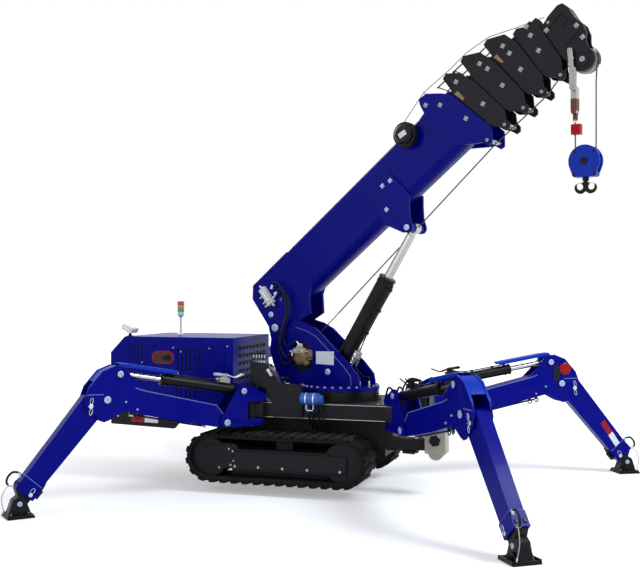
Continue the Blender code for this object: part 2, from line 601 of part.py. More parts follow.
# in front of the boom pivot and up from the disc
brow = [(0.844, -0.004), (0.844, 0.0441), (0.832, 0.1011), (0.742, 0.1971), (0.598, 0.3221), (0.427, 0.4711),
        (0.328, 0.5201), (0.215, 0.5491), (0.100, 0.5561)]
nape = [(-0.052, 0.3791), (-0.064, 0.2841), (-0.035, 0.1841), (-0.002, 0.1091), (0.025, 0.0691),
        (0.050, 0.0541),
        (0.140, 0.0471), (0.150, -0.004)]
side_plate = ([(PIVOT_S + s, DISC_HIGH + z) for s, z in brow] + arc(PIVOT_S, PIVOT_Z, 0.078, 70, 200, 7)
              + [(PIVOT_S + s, DISC_HIGH + z) for s, z in nape])
PORTHOLE_RADIUS = DRUM_FLANGE + 0.020
porthole = arc(DRUM_S, DRUM_Z, PORTHOLE_RADIUS, 0, 330, 12)
turret_joined, turret_added = [], []
for sign in (-1, 1):
    low, high = sorted((sign * TURRET_INNER, sign * TURRET_OUTER))
    turret_joined.append(plate(ahead, side_plate, low, high, holes=[porthole] if sign > 0 else []))
    for s, z, radius, face in ((PIVOT_S, PIVOT_Z, 0.050, BOOM_HALF_WIDTH + PIN_GAP),
                               (LUFF_BASE_S, LUFF_BASE_Z, 0.046, LUFF_EYE_HALF + PIN_GAP)):
        outer = TURRET_OUTER + 0.010
        turret_added.append(rod(ahead, (s, z, sign * (face + outer) / 2), "z", radius, outer - face, 20))
tail = [(0.240, 0.0481), (0.140, 0.0481), (0.050, 0.0561), (0.025, 0.0711), (-0.002, 0.1111),
        (-0.033, 0.1841),
        (-0.048, 0.2541), (-0.034, 0.2541), (-0.018, 0.1861), (0.013, 0.1211), (0.035, 0.0861), (0.055, 0.0711),
        (0.240, 0.0621)]
cross = [plate(ahead, [(PIVOT_S + s, DISC_HIGH + z) for s, z in tail], -TURRET_INNER - 0.004,
               TURRET_INNER + 0.004)]
turret_added.append(rod(ahead, (DRUM_S, DRUM_Z, -(DRUM_HALF + PIN_GAP + TURRET_OUTER) / 2), "z", 0.040,
                        TURRET_OUTER - DRUM_HALF - PIN_GAP, 16))
node("turret", "blue", disc, joined=turret_joined + cross, added=turret_added)

drum_frame = frame(0.0, 0.0, 0.0, SLEW_ANGLE)
drum_frame = shift(drum_frame, DRUM_S, DRUM_Z, 0.0)
drum = turned(drum_frame, [(0.0, DRUM_HALF), (DRUM_FLANGE, DRUM_HALF), (DRUM_FLANGE, DRUM_HALF - 0.010),
                           (DRUM_RADIUS, DRUM_HALF - 0.010), (DRUM_RADIUS, -DRUM_HALF + 0.010),
                           (DRUM_FLANGE, -DRUM_HALF + 0.010), (DRUM_FLANGE, -DRUM_HALF), (0.0, -DRUM_HALF)], 28)
node("winch_drum", "steel", drum)

MOTOR_FACE = DRUM_HALF + PIN_GAP
MOTOR_END = MOTOR_FACE + MOTOR_LENGTH
motor = rod(drum_frame, (0, 0, (MOTOR_FACE + MOTOR_END) / 2), "z", 0.070, MOTOR_LENGTH, 20)
seat_low = TURRET_INNER - GAP - 0.0177
node("winch_motor", "bronze", motor, joined=[
    box(drum_frame, (-0.060, 0.030, seat_low + 0.002), (0.045, 0.095, MOTOR_END + 0.008)),
    rod(drum_frame, (0.060, -0.050, MOTOR_END - 0.040), "z", 0.026, 0.080, 12),
    rod(drum_frame, (0, 0, (seat_low + TURRET_INNER - GAP) / 2), "z", PORTHOLE_RADIUS + 0.010, 0.0177, 24)])

# Boom base

boom = frame(PIVOT_S * math.cos(math.radians(SLEW_ANGLE)), PIVOT_S * math.sin(math.radians(SLEW_ANGLE)),
             PIVOT_Z,
             SLEW_ANGLE, LUFF_ANGLE)
# cross-section frame: its X runs sideways and its Y up, its Z along the boom
ACROSS = Matrix(((0, 0, 1, 0), (0, 1, 0, 0), (-1, 0, 0, 0), (0, 0, 0, 1)))


def tube(matrix, half, low, high, start, end, wall):
    """A boom tube with broad chamfers below and small ones above."""
    def ring_at(inset):
        h, lo, hi = half - inset, low + inset, high - inset
        c, d = half * 0.5 - inset * 0.4, half * 0.14 - inset * 0.4
        return [(-h, lo + c), (-h + c * 0.36, lo + c * 0.36), (-h + c, lo), (h - c, lo),
                (h - c * 0.36, lo + c * 0.36),
                (h, lo + c), (h, hi - d), (h - d, hi), (-h + d, hi), (-h, hi - d)]
    return plate(matrix @ ACROSS, ring_at(0.0), start, end, holes=[ring_at(wall)])


def front_at(front, lean, b):
    """Where the slanting front of a section's head is at a height."""
    return front + lean * (MID_B - b)


def tube_end(front, lean):
    """Where a section's tube ends, short of the next section's head."""
    return front - 0.020 - 0.15 * max(lean, 0.0)


def head_outline(back, back_lean, front, lean, ear, guide):
    """The head plate of a section: ear above, slanting front, and rope guide below."""
    start = front_at(back, back_lean, 0.37) + HEAD_GAP
    return [(start, 0.36), (start + 0.004, ear - 0.014), (start + 0.050, ear),
            (front_at(front, lean, ear - 0.075) - 0.034, ear - 0.075),
            (front_at(front, lean, 0.34), 0.34), (front_at(front, lean, 0.0), 0.0), (guide + 0.034, -0.060),
            (guide + 0.036, -0.105), (guide + 0.014, -0.132), (guide - 0.020, -0.130), (guide - 0.040, -0.080),
            (front_at(back, back_lean, -0.03) + HEAD_GAP + 0.006, -0.030),
            (front_at(back, back_lean, 0.0) + HEAD_GAP, 0.0)]


def pads(matrix, half, low, middle, end):
    """Wear pads in the mouth of a tube, on its floor and its sides, up to the next section."""
    room = SECTION_STEP - BOOM_WALL - GAP
    made = [box(matrix, (end - 0.130, low + BOOM_WALL - 0.002, -half * 0.4),
                (end - 0.010, low + BOOM_WALL + room, half * 0.4))]
    for sign in (-1, 1):
        z0, z1 = sorted((sign * (half - BOOM_WALL + 0.002), sign * (half - BOOM_WALL - room)))
        made.append(box(matrix, (end - 0.130, middle - 0.050, z0), (end - 0.010, middle + 0.050, z1)))
    return made


base_head = [(2.135, 0.440), (2.200, 0.452), (2.213, 0.526), (2.233, 0.572), (2.308, 0.560), (2.407, 0.467),
             (front_at(BASE_FRONT, BASE_LEAN, 0.386), 0.386), (front_at(BASE_FRONT, BASE_LEAN, -0.034), -0.034),
             (BASE_GUIDE + 0.036, -0.100), (BASE_GUIDE + 0.014, -0.128), (BASE_GUIDE - 0.020, -0.126),
             (BASE_GUIDE - 0.042, -0.070), (2.375, -0.040), (2.250, 0.060), (2.160, 0.300)]
lug_plate = ([(1.400, 0.120), (1.372, 0.030), (1.378, 0.000), (LUG_A - 0.056, LUG_B - 0.008)]
             + arc(LUG_A, LUG_B, 0.044, 200, 330, 5)
             + [(1.590, -0.110), (1.645, -0.030), (1.700, 0.040), (1.700, 0.110), (1.672, 0.310),
                (1.560, 0.300)])
foot_plate = [(0.345, -0.113), (0.437, 0.020), (0.560, 0.100), (0.560, 0.280), (0.480, BOOM_HIGH),
              (0.015, BOOM_HIGH),
              (-0.062, 0.365), (-0.074, 0.040)] + arc(0.0, 0.0, 0.074, 180, 290, 5)

base = tube(boom, BOOM_HALF_WIDTH, BOOM_LOW, BOOM_HIGH, BOOM_TUBE_START, tube_end(BASE_FRONT, BASE_LEAN),
            BOOM_WALL)
joined = pads(boom, BOOM_HALF_WIDTH, BOOM_LOW, (BOOM_LOW + BOOM_HIGH) / 2, tube_end(BASE_FRONT, BASE_LEAN))
for sign in (-1, 1):
    low, high = sorted((sign * (BOOM_HALF_WIDTH - PLATE_SUNK), sign * (BOOM_HALF_WIDTH + PLATE_PROUD)))
    joined.append(plate(boom, base_head, low, high))
    joined.append(plate(boom, lug_plate, low, high))
    low, high = sorted((sign * (BOOM_HALF_WIDTH - 0.022), sign * BOOM_HALF_WIDTH))
    joined.append(plate(boom, foot_plate, low, high))
    face = LUFF_EYE_HALF + PIN_GAP
    outer = BOOM_HALF_WIDTH + PLATE_PROUD + 0.010
    joined.append(rod(boom, (LUG_A, LUG_B, sign * (face + outer) / 2), "z", 0.034, outer - face, 18))
joined.append(box(boom, (0.020, BOOM_HIGH - 0.030, -BOOM_HALF_WIDTH + 0.010),
                  (BOOM_TUBE_START + 0.004, BOOM_HIGH - 0.004, BOOM_HALF_WIDTH - 0.010)))
joined.append(box(boom, (-0.055, 0.180, -BOOM_HALF_WIDTH + 0.010), (-0.030, 0.360, BOOM_HALF_WIDTH - 0.010)))
GUIDE_OUT = BOOM_HALF_WIDTH + PLATE_PROUD + 0.006
joined.append(rod(boom, (BASE_GUIDE, GUIDE_B, 0.0), "z", 0.016, 2 * GUIDE_OUT, 12))
REEL_FACE = BOOM_HALF_WIDTH + 0.022
joined.append(rod(boom, (REEL_A, REEL_B, (BOOM_HALF_WIDTH - 0.004 + REEL_FACE) / 2), "z", 0.040,
                  REEL_FACE - BOOM_HALF_WIDTH + 0.004, 16))
node("boom_base", "blue", base, joined=joined)

reel_frame = shift(boom, REEL_A, REEL_B, 0.0)
node("hose_reel", "black", turned(reel_frame, [
    (0.0, 0.222), (0.060, 0.222), (0.076, 0.206), (0.076, 0.186), (REEL_RADIUS, 0.186), (REEL_RADIUS, 0.178),
    (0.070, 0.172), (0.070, 0.152), (REEL_RADIUS, 0.146), (REEL_RADIUS, REEL_FACE + 0.004), (0.046,
                                                                                             REEL_FACE + 0.004),
    (0.046, REEL_FACE + PIN_GAP), (0.0, REEL_FACE + PIN_GAP)], 24))

# Telescopic sections with their heads

back, back_lean = BASE_FRONT, BASE_LEAN
for number, (name, front, lean, ear, guide, start) in enumerate(SECTIONS, 1):
    half = BOOM_HALF_WIDTH - SECTION_STEP * number
    low, high = BOOM_LOW + SECTION_STEP * number, BOOM_HIGH - SECTION_STEP * number
    middle = shift(boom, 0.0, (low + high) / 2, 0.0)
    drop = -(low + high) / 2
    body = tube(middle, half, low + drop, high + drop, start, tube_end(front, lean), BOOM_WALL)
    outline = [(a, b + drop) for a, b in head_outline(back, back_lean, front, lean, ear, guide)]
    joined = pads(middle, half, low + drop, 0.0, tube_end(front, lean))
    for sign in (-1, 1):
        z0, z1 = sorted((sign * (half - PLATE_SUNK), sign * (half + PLATE_PROUD - 0.004)))
        joined.append(plate(middle, outline, z0, z1))
    out = half + PLATE_PROUD + 0.002
    if number < len(SECTIONS):
        joined.append(rod(middle, (guide, GUIDE_B + drop, 0.0), "z", 0.016, 2 * out, 12))
    else:
        # the load link swings between the last head's two guide pins
        for sign in (-1, 1):
            pin = out - half + PLATE_SUNK + 0.004
            joined.append(rod(middle, (guide, GUIDE_B + drop, sign * (out - pin / 2)), "z", 0.016, pin, 12))
    rest = front_at(back, back_lean, 0.41) + HEAD_GAP + 0.075
    if ear > BOOM_HIGH + 0.050:
        joined.append(rod(middle, (rest, ear - 0.078 + drop, 0.0), "z", 0.016, 2 * out, 12))
    node(name, "black", body, joined=joined)
    back, back_lean = front, lean

# Boom tip: last tube, side plates round the sheave, and the cover above

TIP_HALF = BOOM_HALF_WIDTH - SECTION_STEP * 5
low, high = BOOM_LOW + SECTION_STEP * 5, BOOM_HIGH - SECTION_STEP * 5
middle = shift(boom, 0.0, (low + high) / 2, 0.0)
drop = -(low + high) / 2
TIP_BACK = front_at(back, back_lean, 0.0) + HEAD_GAP
tip_plate = [(TIP_BACK + 0.002, 0.0), (front_at(back, back_lean, 0.30) + HEAD_GAP, 0.300), (3.370, 0.322),
             (3.474, 0.334), (3.508, 0.318), (3.520, 0.269), (3.508, 0.156), (3.520, 0.086), (3.500, 0.020),
             (3.462, -0.030)]
tip_plate += arc(SHEAVE_A, SHEAVE_B, 0.088, 20, -160, 9) + [(TIP_BACK + 0.008, -0.070)]
tip_block = [(TIP_BACK + 0.010, 0.105), (TIP_BACK + 0.010, 0.290), (3.370, 0.318), (3.470, 0.330),
             (3.502, 0.314),
             (3.512, 0.266), (3.500, 0.156), (3.512, 0.088), (3.490, 0.030), (3.400, 0.030)]
body = tube(middle, TIP_HALF, low + drop, high + drop, TIP_START, TIP_BACK + 0.040, BOOM_WALL)
joined = [plate(middle, [(a, b + drop) for a, b in tip_block], -TIP_HALF, TIP_HALF)]
added = []
for sign in (-1, 1):
    z0, z1 = sorted((sign * (TIP_HALF - 0.008), sign * (TIP_HALF + 0.010)))
    joined.append(plate(middle, [(a, b + drop) for a, b in tip_plate], z0, z1))
    face = SHEAVE_HALF + PIN_GAP
    outer = TIP_HALF + 0.018
    added.append(rod(middle, (SHEAVE_A, SHEAVE_B + drop, sign * (face + outer) / 2), "z", 0.022,
                     outer - face, 14))
LINK_NEAR = TIP_HALF - 0.008 - PIN_GAP
LINK_FAR = SHEAVE_HALF + 0.005
face = LINK_NEAR + PIN_GAP
added.append(rod(middle, (LINK_A, LINK_B + drop, (face + TIP_HALF + 0.016) / 2), "z", 0.016,
                 TIP_HALF + 0.016 - face, 12))
node("boom_tip", "black", body, joined=joined, added=added)

sheave_frame = shift(boom, SHEAVE_A, SHEAVE_B, 0.0)
node("tip_sheave", "steel", turned(sheave_frame, [
    (0.0, SHEAVE_HALF), (SHEAVE_RADIUS, SHEAVE_HALF), (SHEAVE_RADIUS,
                                                       SHEAVE_HALF - 0.004), (SHEAVE_RADIUS - 0.014, 0.0),
    (SHEAVE_RADIUS, -SHEAVE_HALF + 0.004), (SHEAVE_RADIUS, -SHEAVE_HALF), (0.0, -SHEAVE_HALF)], 32))


def slewed(s, side=0.0):
    """Machine X and Y of a point in the slewed plane, side towards local Z."""
    h = math.radians(SLEW_ANGLE)
    return s * math.cos(h) + side * math.sin(h), s * math.sin(h) - side * math.cos(h)


# Luff cylinder

lug_s = PIVOT_S + LUG_A * math.cos(math.radians(LUFF_ANGLE)) - LUG_B * math.sin(math.radians(LUFF_ANGLE))
lug_z = PIVOT_Z + LUG_A * math.sin(math.radians(LUFF_ANGLE)) + LUG_B * math.cos(math.radians(LUFF_ANGLE))
LUFF_LENGTH = math.hypot(lug_s - LUFF_BASE_S, lug_z - LUFF_BASE_Z)
LUFF_LEAN = math.degrees(math.atan2(lug_z - LUFF_BASE_Z, lug_s - LUFF_BASE_S))


def ram(prefix, place, heading, z, lean, length, barrel, radius, rod_radius, eye, eye_half, cap, bore_start,
        inside):
    """A cylinder and its rod: the barrel about its foot pin, the rod from inside it to the far eye."""
    here = frame(*place, z, heading, lean)
    body = rod(here, ((eye * 1.3 + barrel) / 2, 0, 0), "x", radius, barrel - eye * 1.3, 16)
    parts = [rod(here, (0, 0, 0), "z", eye, 2 * eye_half, 16),
             box(here, (0.0, -eye * 0.8, -eye_half), (eye * 1.6, eye * 0.8, eye_half)),
             rod(here, (barrel - cap / 2, 0, 0), "x", radius + 0.005, cap, 16)]
    bore = rod(here, ((bore_start + barrel + 0.1) / 2, 0, 0), "x", rod_radius + PIN_GAP,
               barrel + 0.1 - bore_start, 14)
    node(f"{prefix}_barrel", "black", body, joined=parts, cut=[bore])
    there = shift(here, length, 0.0, 0.0)
    shaft = rod(there, ((inside - length) / 2, 0, 0), "x", rod_radius, length - inside, 14)
    node(f"{prefix}_rod", "chrome", shaft, joined=[rod(there, (0, 0, 0), "z", eye, 2 * eye_half, 16)])


ram("luff", slewed(LUFF_BASE_S), SLEW_ANGLE, LUFF_BASE_Z, LUFF_LEAN, LUFF_LENGTH, LUFF_BARREL_TOP,
    LUFF_BARREL_RADIUS, LUFF_ROD_RADIUS, LUFF_EYE_RADIUS, LUFF_EYE_HALF, 0.050, 0.090, 0.505)

# Hanging gear: link and socket, weight, two falls with the block, and the hook

link_s = PIVOT_S + LINK_A * math.cos(math.radians(LUFF_ANGLE)) - LINK_B * math.sin(math.radians(LUFF_ANGLE))
link_z = PIVOT_Z + LINK_A * math.sin(math.radians(LUFF_ANGLE)) + LINK_B * math.cos(math.radians(LUFF_ANGLE))
plumb = frame(*slewed(link_s), link_z, SLEW_ANGLE)
LINK_DROP = 0.400        # from its pin to the end of the socket
WEIGHT_TOP = 0.475
WEIGHT_HEIGHT = 0.075
link = plate(plumb, arc(0, 0, 0.020, 160, 20, 5) + [(0.018, -0.225), (-0.018, -0.225)], LINK_FAR, LINK_NEAR)
node("load_link", "steel", link, joined=[
    box(plumb, (-0.022, -LINK_DROP, -0.020), (0.022, -0.200, LINK_NEAR - 0.002)),
    rod(plumb, (0, -LINK_DROP - 0.030, 0), "y", 0.014, 0.064, 12)])

block_frame = shift(plumb, FALL_SPREAD / 2, -BLOCK_DROP, 0.0)
cheek = ([(-0.100, -0.070), (-0.080, -0.116), (0.080, -0.116), (0.100, -0.070)]
         + arc(0.0, 0.0, BLOCK_RADIUS, -20, 200, 14))
block = plate(block_frame, cheek, -0.042, 0.042)
left_top = BLOCK_DROP - LINK_DROP - 0.062 - GAP
right_top = BLOCK_DROP - 0.185
falls = [rod(block_frame, (-FALL_SPREAD / 2, (left_top + 0.060) / 2, 0), "y", ROPE_RADIUS, left_top - 0.060,
             8),
         rod(block_frame, (FALL_SPREAD / 2, (right_top + 0.060) / 2, 0), "y", ROPE_RADIUS, right_top - 0.060,
             8)]
node("hook_block", "blue", block, joined=[*falls, rod(block_frame, (0, 0, 0), "z", 0.030, 0.104, 16)])

weight_mid = WEIGHT_TOP + WEIGHT_HEIGHT / 2
node("limit_weight", "red", box(plumb, (-0.026, -weight_mid - WEIGHT_HEIGHT / 2, -0.028),
                                (0.044, -weight_mid + WEIGHT_HEIGHT / 2, 0.028)),
     cut=[rod(plumb, (0, -weight_mid, 0), "y", ROPE_RADIUS + GAP, WEIGHT_HEIGHT + 0.02, 8)])

hook_frame = shift(block_frame, 0.0, -0.116 - PIN_GAP, 0.0)
claws = (arc(-0.040, -0.072, 0.046, 200, 330, 8) + [(0.000, -0.108)] + arc(0.040, -0.072, 0.046, 210, 340, 8)
         + [(0.088, -0.050), (0.070, -0.040)] + arc(0.040, -0.072, 0.024, 0, -150, 6)
         + [(0.012, -0.040), (0.012, -0.014), (-0.012, -0.014), (-0.012, -0.040)]
         + arc(-0.040, -0.072, 0.024, -30, -180, 6) + [(-0.070, -0.040), (-0.088, -0.050)])
node("hook", "black", rod(hook_frame, (0, -0.014, 0), "y", 0.024, 0.028, 16),
     joined=[plate(hook_frame, claws, -0.013, 0.013)])

# Legs: bracket, arm, lift cylinder, lower leg and inner leg with its pad

REST = math.radians(ARM_PITCH)
knee_r = ARM_R + ARM_LENGTH * math.cos(REST)
knee_z = ARM_Z + ARM_LENGTH * math.sin(REST)
SHIN = ARM_PITCH + KNEE_ANGLE
SHIN_LENGTH = (knee_z - FOOT_PIN) / -math.sin(math.radians(SHIN))
foot_r = knee_r + SHIN_LENGTH * math.cos(math.radians(SHIN))
rod_r = ARM_R + ROD_X * math.cos(REST) - ROD_Y * math.sin(REST)
rod_z = ARM_Z + ROD_X * math.sin(REST) + ROD_Y * math.cos(REST)
RAM_LENGTH = math.hypot(rod_r - RAM_R, rod_z - RAM_Z)
RAM_LEAN = math.degrees(math.atan2(rod_z - RAM_Z, rod_r - RAM_R))

# out from the hinge and up from the arm's pin
cheek_low = [(-0.060, -0.0407), (ARM_R + 0.031, -0.0407), (ARM_R + 0.051, -0.0127), (ARM_R + 0.047, 0.0313)]
cheek_high = [(RAM_R + 0.0553, 0.0202), (RAM_R + 0.0253, 0.0482), (RAM_R - 0.0167, 0.0522),
              (RAM_R - 0.0567, 0.0362),
              (-0.076, -0.0318), (-0.090, -0.0518)]
throat = [(-0.090, HINGE_POST_HIGH + GAP - ARM_Z), (0.076, HINGE_POST_HIGH + GAP - ARM_Z),
          (0.076, HINGE_POST_LOW - GAP - ARM_Z), (-0.060, HINGE_POST_LOW - GAP - ARM_Z)]
bracket_side = cheek_low + [(r, RAM_Z - ARM_Z + z) for r, z in cheek_high] + throat
# from the arm's pin, and from the knee pin
arm_root = [(0.720, 0.122), (0.110, 0.122), (0.020, 0.052), (-0.040, 0.024), (-0.046, -0.020),
            (-0.028, -0.042),
            (0.020, -0.050), (0.450, -0.064)]
arm_knee = [(-0.1539, -0.060), (-0.0539, -0.150), (-0.0179, -0.172), (0.0221, -0.166), (0.0661, -0.122),
            (0.1361, -0.104), (0.1701, -0.040), (0.1581, 0.060), (0.0821, 0.200), (-0.0099, 0.262), (-0.0879, 0.262),
            (-0.1639, 0.200)]
arm_side = arm_root + [(ARM_LENGTH + x, y) for x, y in arm_knee]
SLOT = ARM_LENGTH - 0.185    # the arm is a fork from here outwards

for name, sx, sy, swing in LEGS:
    heading = math.degrees(math.atan2(sy * math.sin(math.radians(swing)), sx * math.cos(math.radians(swing))))
    hx, hy = sx * HINGE_X, sy * HINGE_Y
    at = (hx, hy)

    def out(r):
        """Machine X and Y of a point at a distance out along this leg."""
        return hx + r * math.cos(math.radians(heading)), hy + r * math.sin(math.radians(heading))

    hinge = frame(*at, 0.0, heading)
    outer = BRACKET_INNER + BRACKET_PLATE
    post_top = HINGE_POST_HIGH + GAP
    post_low = HINGE_POST_LOW - GAP
    bracket_frame = shift(hinge, 0.0, ARM_Z, 0.0)
    core = box(bracket_frame, (-0.086, post_top - ARM_Z, -BRACKET_INNER - 0.004),
               (0.090, post_top + 0.0507 - ARM_Z, BRACKET_INNER + 0.004))
    joined = [box(bracket_frame, (-0.056, -0.0387, -BRACKET_INNER - 0.004),
                  (0.090, post_low - ARM_Z, BRACKET_INNER + 0.004)),
              box(bracket_frame, (0.078, -0.0367, -BRACKET_INNER - 0.004),
                  (0.100, post_top + 0.0587 - ARM_Z, BRACKET_INNER + 0.004))]
    added = []
    for sign in (-1, 1):
        low, high = sorted((sign * BRACKET_INNER, sign * outer))
        joined.append(plate(bracket_frame, bracket_side, low, high))
        for r, z, face, size in ((RAM_R, RAM_Z, RAM_EYE + PIN_GAP, 0.028),
                                 (ARM_R, ARM_Z, ARM_HALF + PIN_GAP, 0.034)):
            end = outer + 0.008
            added.append(rod(bracket_frame, (r, z - ARM_Z, sign * (face + end) / 2), "z", size, end - face,
                             10))
    bracket = node(f"leg_bracket_{name}", "blue", core, joined=joined, added=added)

    arm_frame = frame(*out(ARM_R), ARM_Z, heading, ARM_PITCH)
    body = plate(arm_frame, arm_side, -ARM_HALF, ARM_HALF)
    slot = plate(arm_frame, [(SLOT, -0.30), (SLOT + 0.45, -0.30), (SLOT + 0.45, 0.40), (SLOT - 0.25, 0.40),
                             (SLOT - 0.25, 0.130), (SLOT, 0.130)], -ARM_HALF + ARM_PLATE, ARM_HALF - ARM_PLATE)
    trough = plate(arm_frame, [(0.150, -0.052), (SLOT - 0.040, -0.048), (SLOT - 0.040, 0.110),
                               (0.150, 0.110)],
                   -ARM_HALF + ARM_PLATE, ARM_HALF - ARM_PLATE)
    vent = box(arm_frame, (SLOT - 0.060, -0.030, -0.030), (SLOT + 0.02, 0.030, 0.030))
    added = []
    for sign in (-1, 1):
        for x, y, face, size in ((ROD_X, ROD_Y, RAM_EYE + PIN_GAP, 0.026),
                                 (ARM_LENGTH, 0.0, LEG_HALF + PIN_GAP, 0.034)):
            end = ARM_HALF + 0.010
            added.append(rod(arm_frame, (x, y, sign * (face + end) / 2), "z", size, end - face, 10))
    node(f"leg_arm_{name}", "blue", body, cut=[slot, trough, vent], added=added)

    ram(f"leg_{name}", out(RAM_R), heading, RAM_Z, RAM_LEAN, RAM_LENGTH, RAM_BARREL, RAM_RADIUS,
        RAM_ROD_RADIUS,
        RAM_EYE, RAM_EYE, 0.030, 0.080, 0.300)

    shin_frame = frame(*out(knee_r), knee_z, heading, SHIN)
    profile = ([(LEG_BOX_END, -LEG_DEPTH_IN), (LEG_BOX_END, LEG_DEPTH_OUT), (0.085, LEG_ROOT_OUT), (0.040, 0.120)]
               + arc(0.0, 0.0, 0.062, 80, 280, 8) + [(0.040, -LEG_DEPTH_IN)])
    body = plate(shin_frame, profile, -LEG_HALF, LEG_HALF)
    bore = box(shin_frame, (0.280, -LEG_DEPTH_IN + LEG_WALL, -LEG_HALF + LEG_WALL),
               (LEG_BOX_END + 0.1, LEG_DEPTH_OUT - LEG_WALL, LEG_HALF - LEG_WALL))
    collar = box(shin_frame, (LEG_BOX_END - COLLAR_LENGTH, -LEG_DEPTH_IN - 0.008, -LEG_HALF - 0.006),
                 (LEG_BOX_END, LEG_DEPTH_OUT + 0.008, LEG_HALF + 0.006))
    node(f"lower_leg_{name}", "blue", body, joined=[collar], cut=[bore])

    foot_frame = frame(*out(foot_r), FOOT_PIN, heading)
    slide = shift(shin_frame, SHIN_LENGTH, 0.0, 0.0)
    low, high = -LEG_DEPTH_IN + LEG_WALL + 0.001, LEG_DEPTH_OUT - LEG_WALL - 0.001
    inner = plate(slide, [(0.340 - SHIN_LENGTH, low), (-0.030, low), (-0.030, 0.040), (-0.060, high),
                          (0.340 - SHIN_LENGTH, high)], -INNER_LEG_HALF, INNER_LEG_HALF)
    half = PAD_SIZE / 2
    yoke = plate(foot_frame, [(-0.088, PAD_PLATE - FOOT_PIN - 0.002), (0.088, PAD_PLATE - FOOT_PIN - 0.002),
                              (0.046, 0.030),
                              (0.010, 0.052), (-0.040, 0.040)], -0.046, 0.046)
    pad = box(foot_frame, (-half, -FOOT_PIN, -half), (half, PAD_PLATE - FOOT_PIN, half))
    rims = []
    for sign in (-1, 1):
        z0, z1 = sorted((sign * (half - 0.010), sign * (half + 0.004)))
        rims.append(box(foot_frame, (-half + 0.012, PAD_PLATE - FOOT_PIN - 0.006, z0),
                        (half - 0.012, PAD_PLATE - FOOT_PIN + 0.016, z1)))
    node(f"inner_leg_{name}", "black", inner, joined=[yoke, pad, *rims])
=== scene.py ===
"""Looks of a blue spider crane that stands on its four outrigger legs."""

import json
import logging
import math
from dataclasses import dataclass
from enum import Enum
from typing import Sequence

import bmesh
import bpy
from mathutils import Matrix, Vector

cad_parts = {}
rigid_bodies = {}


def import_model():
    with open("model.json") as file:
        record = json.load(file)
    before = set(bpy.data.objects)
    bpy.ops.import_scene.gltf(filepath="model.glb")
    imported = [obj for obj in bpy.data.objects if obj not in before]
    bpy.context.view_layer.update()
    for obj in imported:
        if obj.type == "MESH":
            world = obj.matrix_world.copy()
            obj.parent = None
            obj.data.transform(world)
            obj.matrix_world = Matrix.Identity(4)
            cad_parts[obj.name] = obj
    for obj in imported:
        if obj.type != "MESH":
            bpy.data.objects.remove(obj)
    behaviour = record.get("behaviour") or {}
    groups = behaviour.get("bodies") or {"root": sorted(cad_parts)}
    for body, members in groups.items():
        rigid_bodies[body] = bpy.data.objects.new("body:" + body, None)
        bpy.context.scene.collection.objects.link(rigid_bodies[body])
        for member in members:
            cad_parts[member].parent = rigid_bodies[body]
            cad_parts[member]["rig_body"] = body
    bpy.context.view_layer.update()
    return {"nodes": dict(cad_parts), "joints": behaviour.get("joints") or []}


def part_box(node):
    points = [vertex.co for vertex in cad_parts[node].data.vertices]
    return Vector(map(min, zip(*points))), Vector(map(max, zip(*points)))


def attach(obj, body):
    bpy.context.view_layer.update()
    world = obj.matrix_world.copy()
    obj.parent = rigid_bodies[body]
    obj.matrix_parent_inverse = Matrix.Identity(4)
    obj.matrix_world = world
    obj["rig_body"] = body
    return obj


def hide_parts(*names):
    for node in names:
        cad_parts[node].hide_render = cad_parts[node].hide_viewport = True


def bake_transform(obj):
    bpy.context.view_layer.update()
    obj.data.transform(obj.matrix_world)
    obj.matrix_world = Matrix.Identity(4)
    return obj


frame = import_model()
LOG = logging.getLogger("spider_crane")
JOINTS = {joint["name"]: joint for joint in frame["joints"]}
SLEW = JOINTS["slew"]["pos_m"]
# The tip sheave's axis in the boom's frame, and the circle that the hoist rope runs on round it.
TIP_SHEAVE = (3.36, -0.115)
ROPE_CIRCLE = 0.087
# Where the rope meets that circle and leaves it, in degrees from the boom's own line.
ROPE_ON = 115.2
ROPE_OFF = -38.5
# Each leg's name, 1 for front or -1 for rear, 1 for far or -1 for near, and its swing in degrees.
LEGS = (
    ("rear_near", -1.0, -1.0, 48.4), ("front_near", 1.0, -1.0, 54.0), ("front_far", 1.0, 1.0, 28.4),
    ("rear_far", -1.0, 1.0, 48.4))
Point = tuple[float, float, float]
Flat = tuple[float, float]


class Role(Enum):
    """What a surface is made of, with two finishes that paint highlights onto the blue paint: pale edge
    lines and a lighter blue.
    """

    BLUE = "blue_paint"
    DARK = "dark_paint"
    BLACK = "black_paint"
    HEAD = "head_paint"
    RUBBER = "track_rubber"
    HOSE = "hose_rubber"
    CHROME = "chromed_rod"
    STEEL = "bare_steel"
    PIN = "zinc_pin"
    BRONZE = "bronze_casting"
    BEIGE = "beige_paint"
    AZURE = "azure_paint"
    RED = "red_paint"
    LAMP_RED = "lamp_red"
    LAMP_AMBER = "lamp_amber"
    LAMP_GREEN = "lamp_green"
    PALE = "pale_plastic"
    WHITE = "white_label"
    SILVER = "silver_fitting"
    ENGINE = "engine_casting"
    REFLECT = "red_reflector"
    CREAM = "cream_nylon"
    ROPE = "wire_rope"
    LENS = "pale_blue_lens"
    CLEAR = "clear_cover"
    MAROON = "maroon_paint"
    # Pale blue lines: painted highlight along edges that catch the light.
    EDGE_HIGHLIGHT = "painted_edge_highlight"
    # A lighter copy of the blue paint: painted highlight for faces lit by sky and sun.
    HIGHLIGHT_BLUE = "painted_highlight_blue"
    GREY = "grey_casting"
    COPPER = "brown_casting"


def make(nodes: bpy.types.Nodes, *kinds: str) -> list[bpy.types.Node]:
    """New shader nodes of the kinds named, in order."""
    return [nodes.new(f"ShaderNode{kind}") for kind in kinds]


def put(node: bpy.types.Node, values: dict[str, float | tuple[float, ...]]) -> None:
    """Sets input sockets of a node by their names."""
    for socket, value in values.items():
        node.inputs[socket].default_value = value


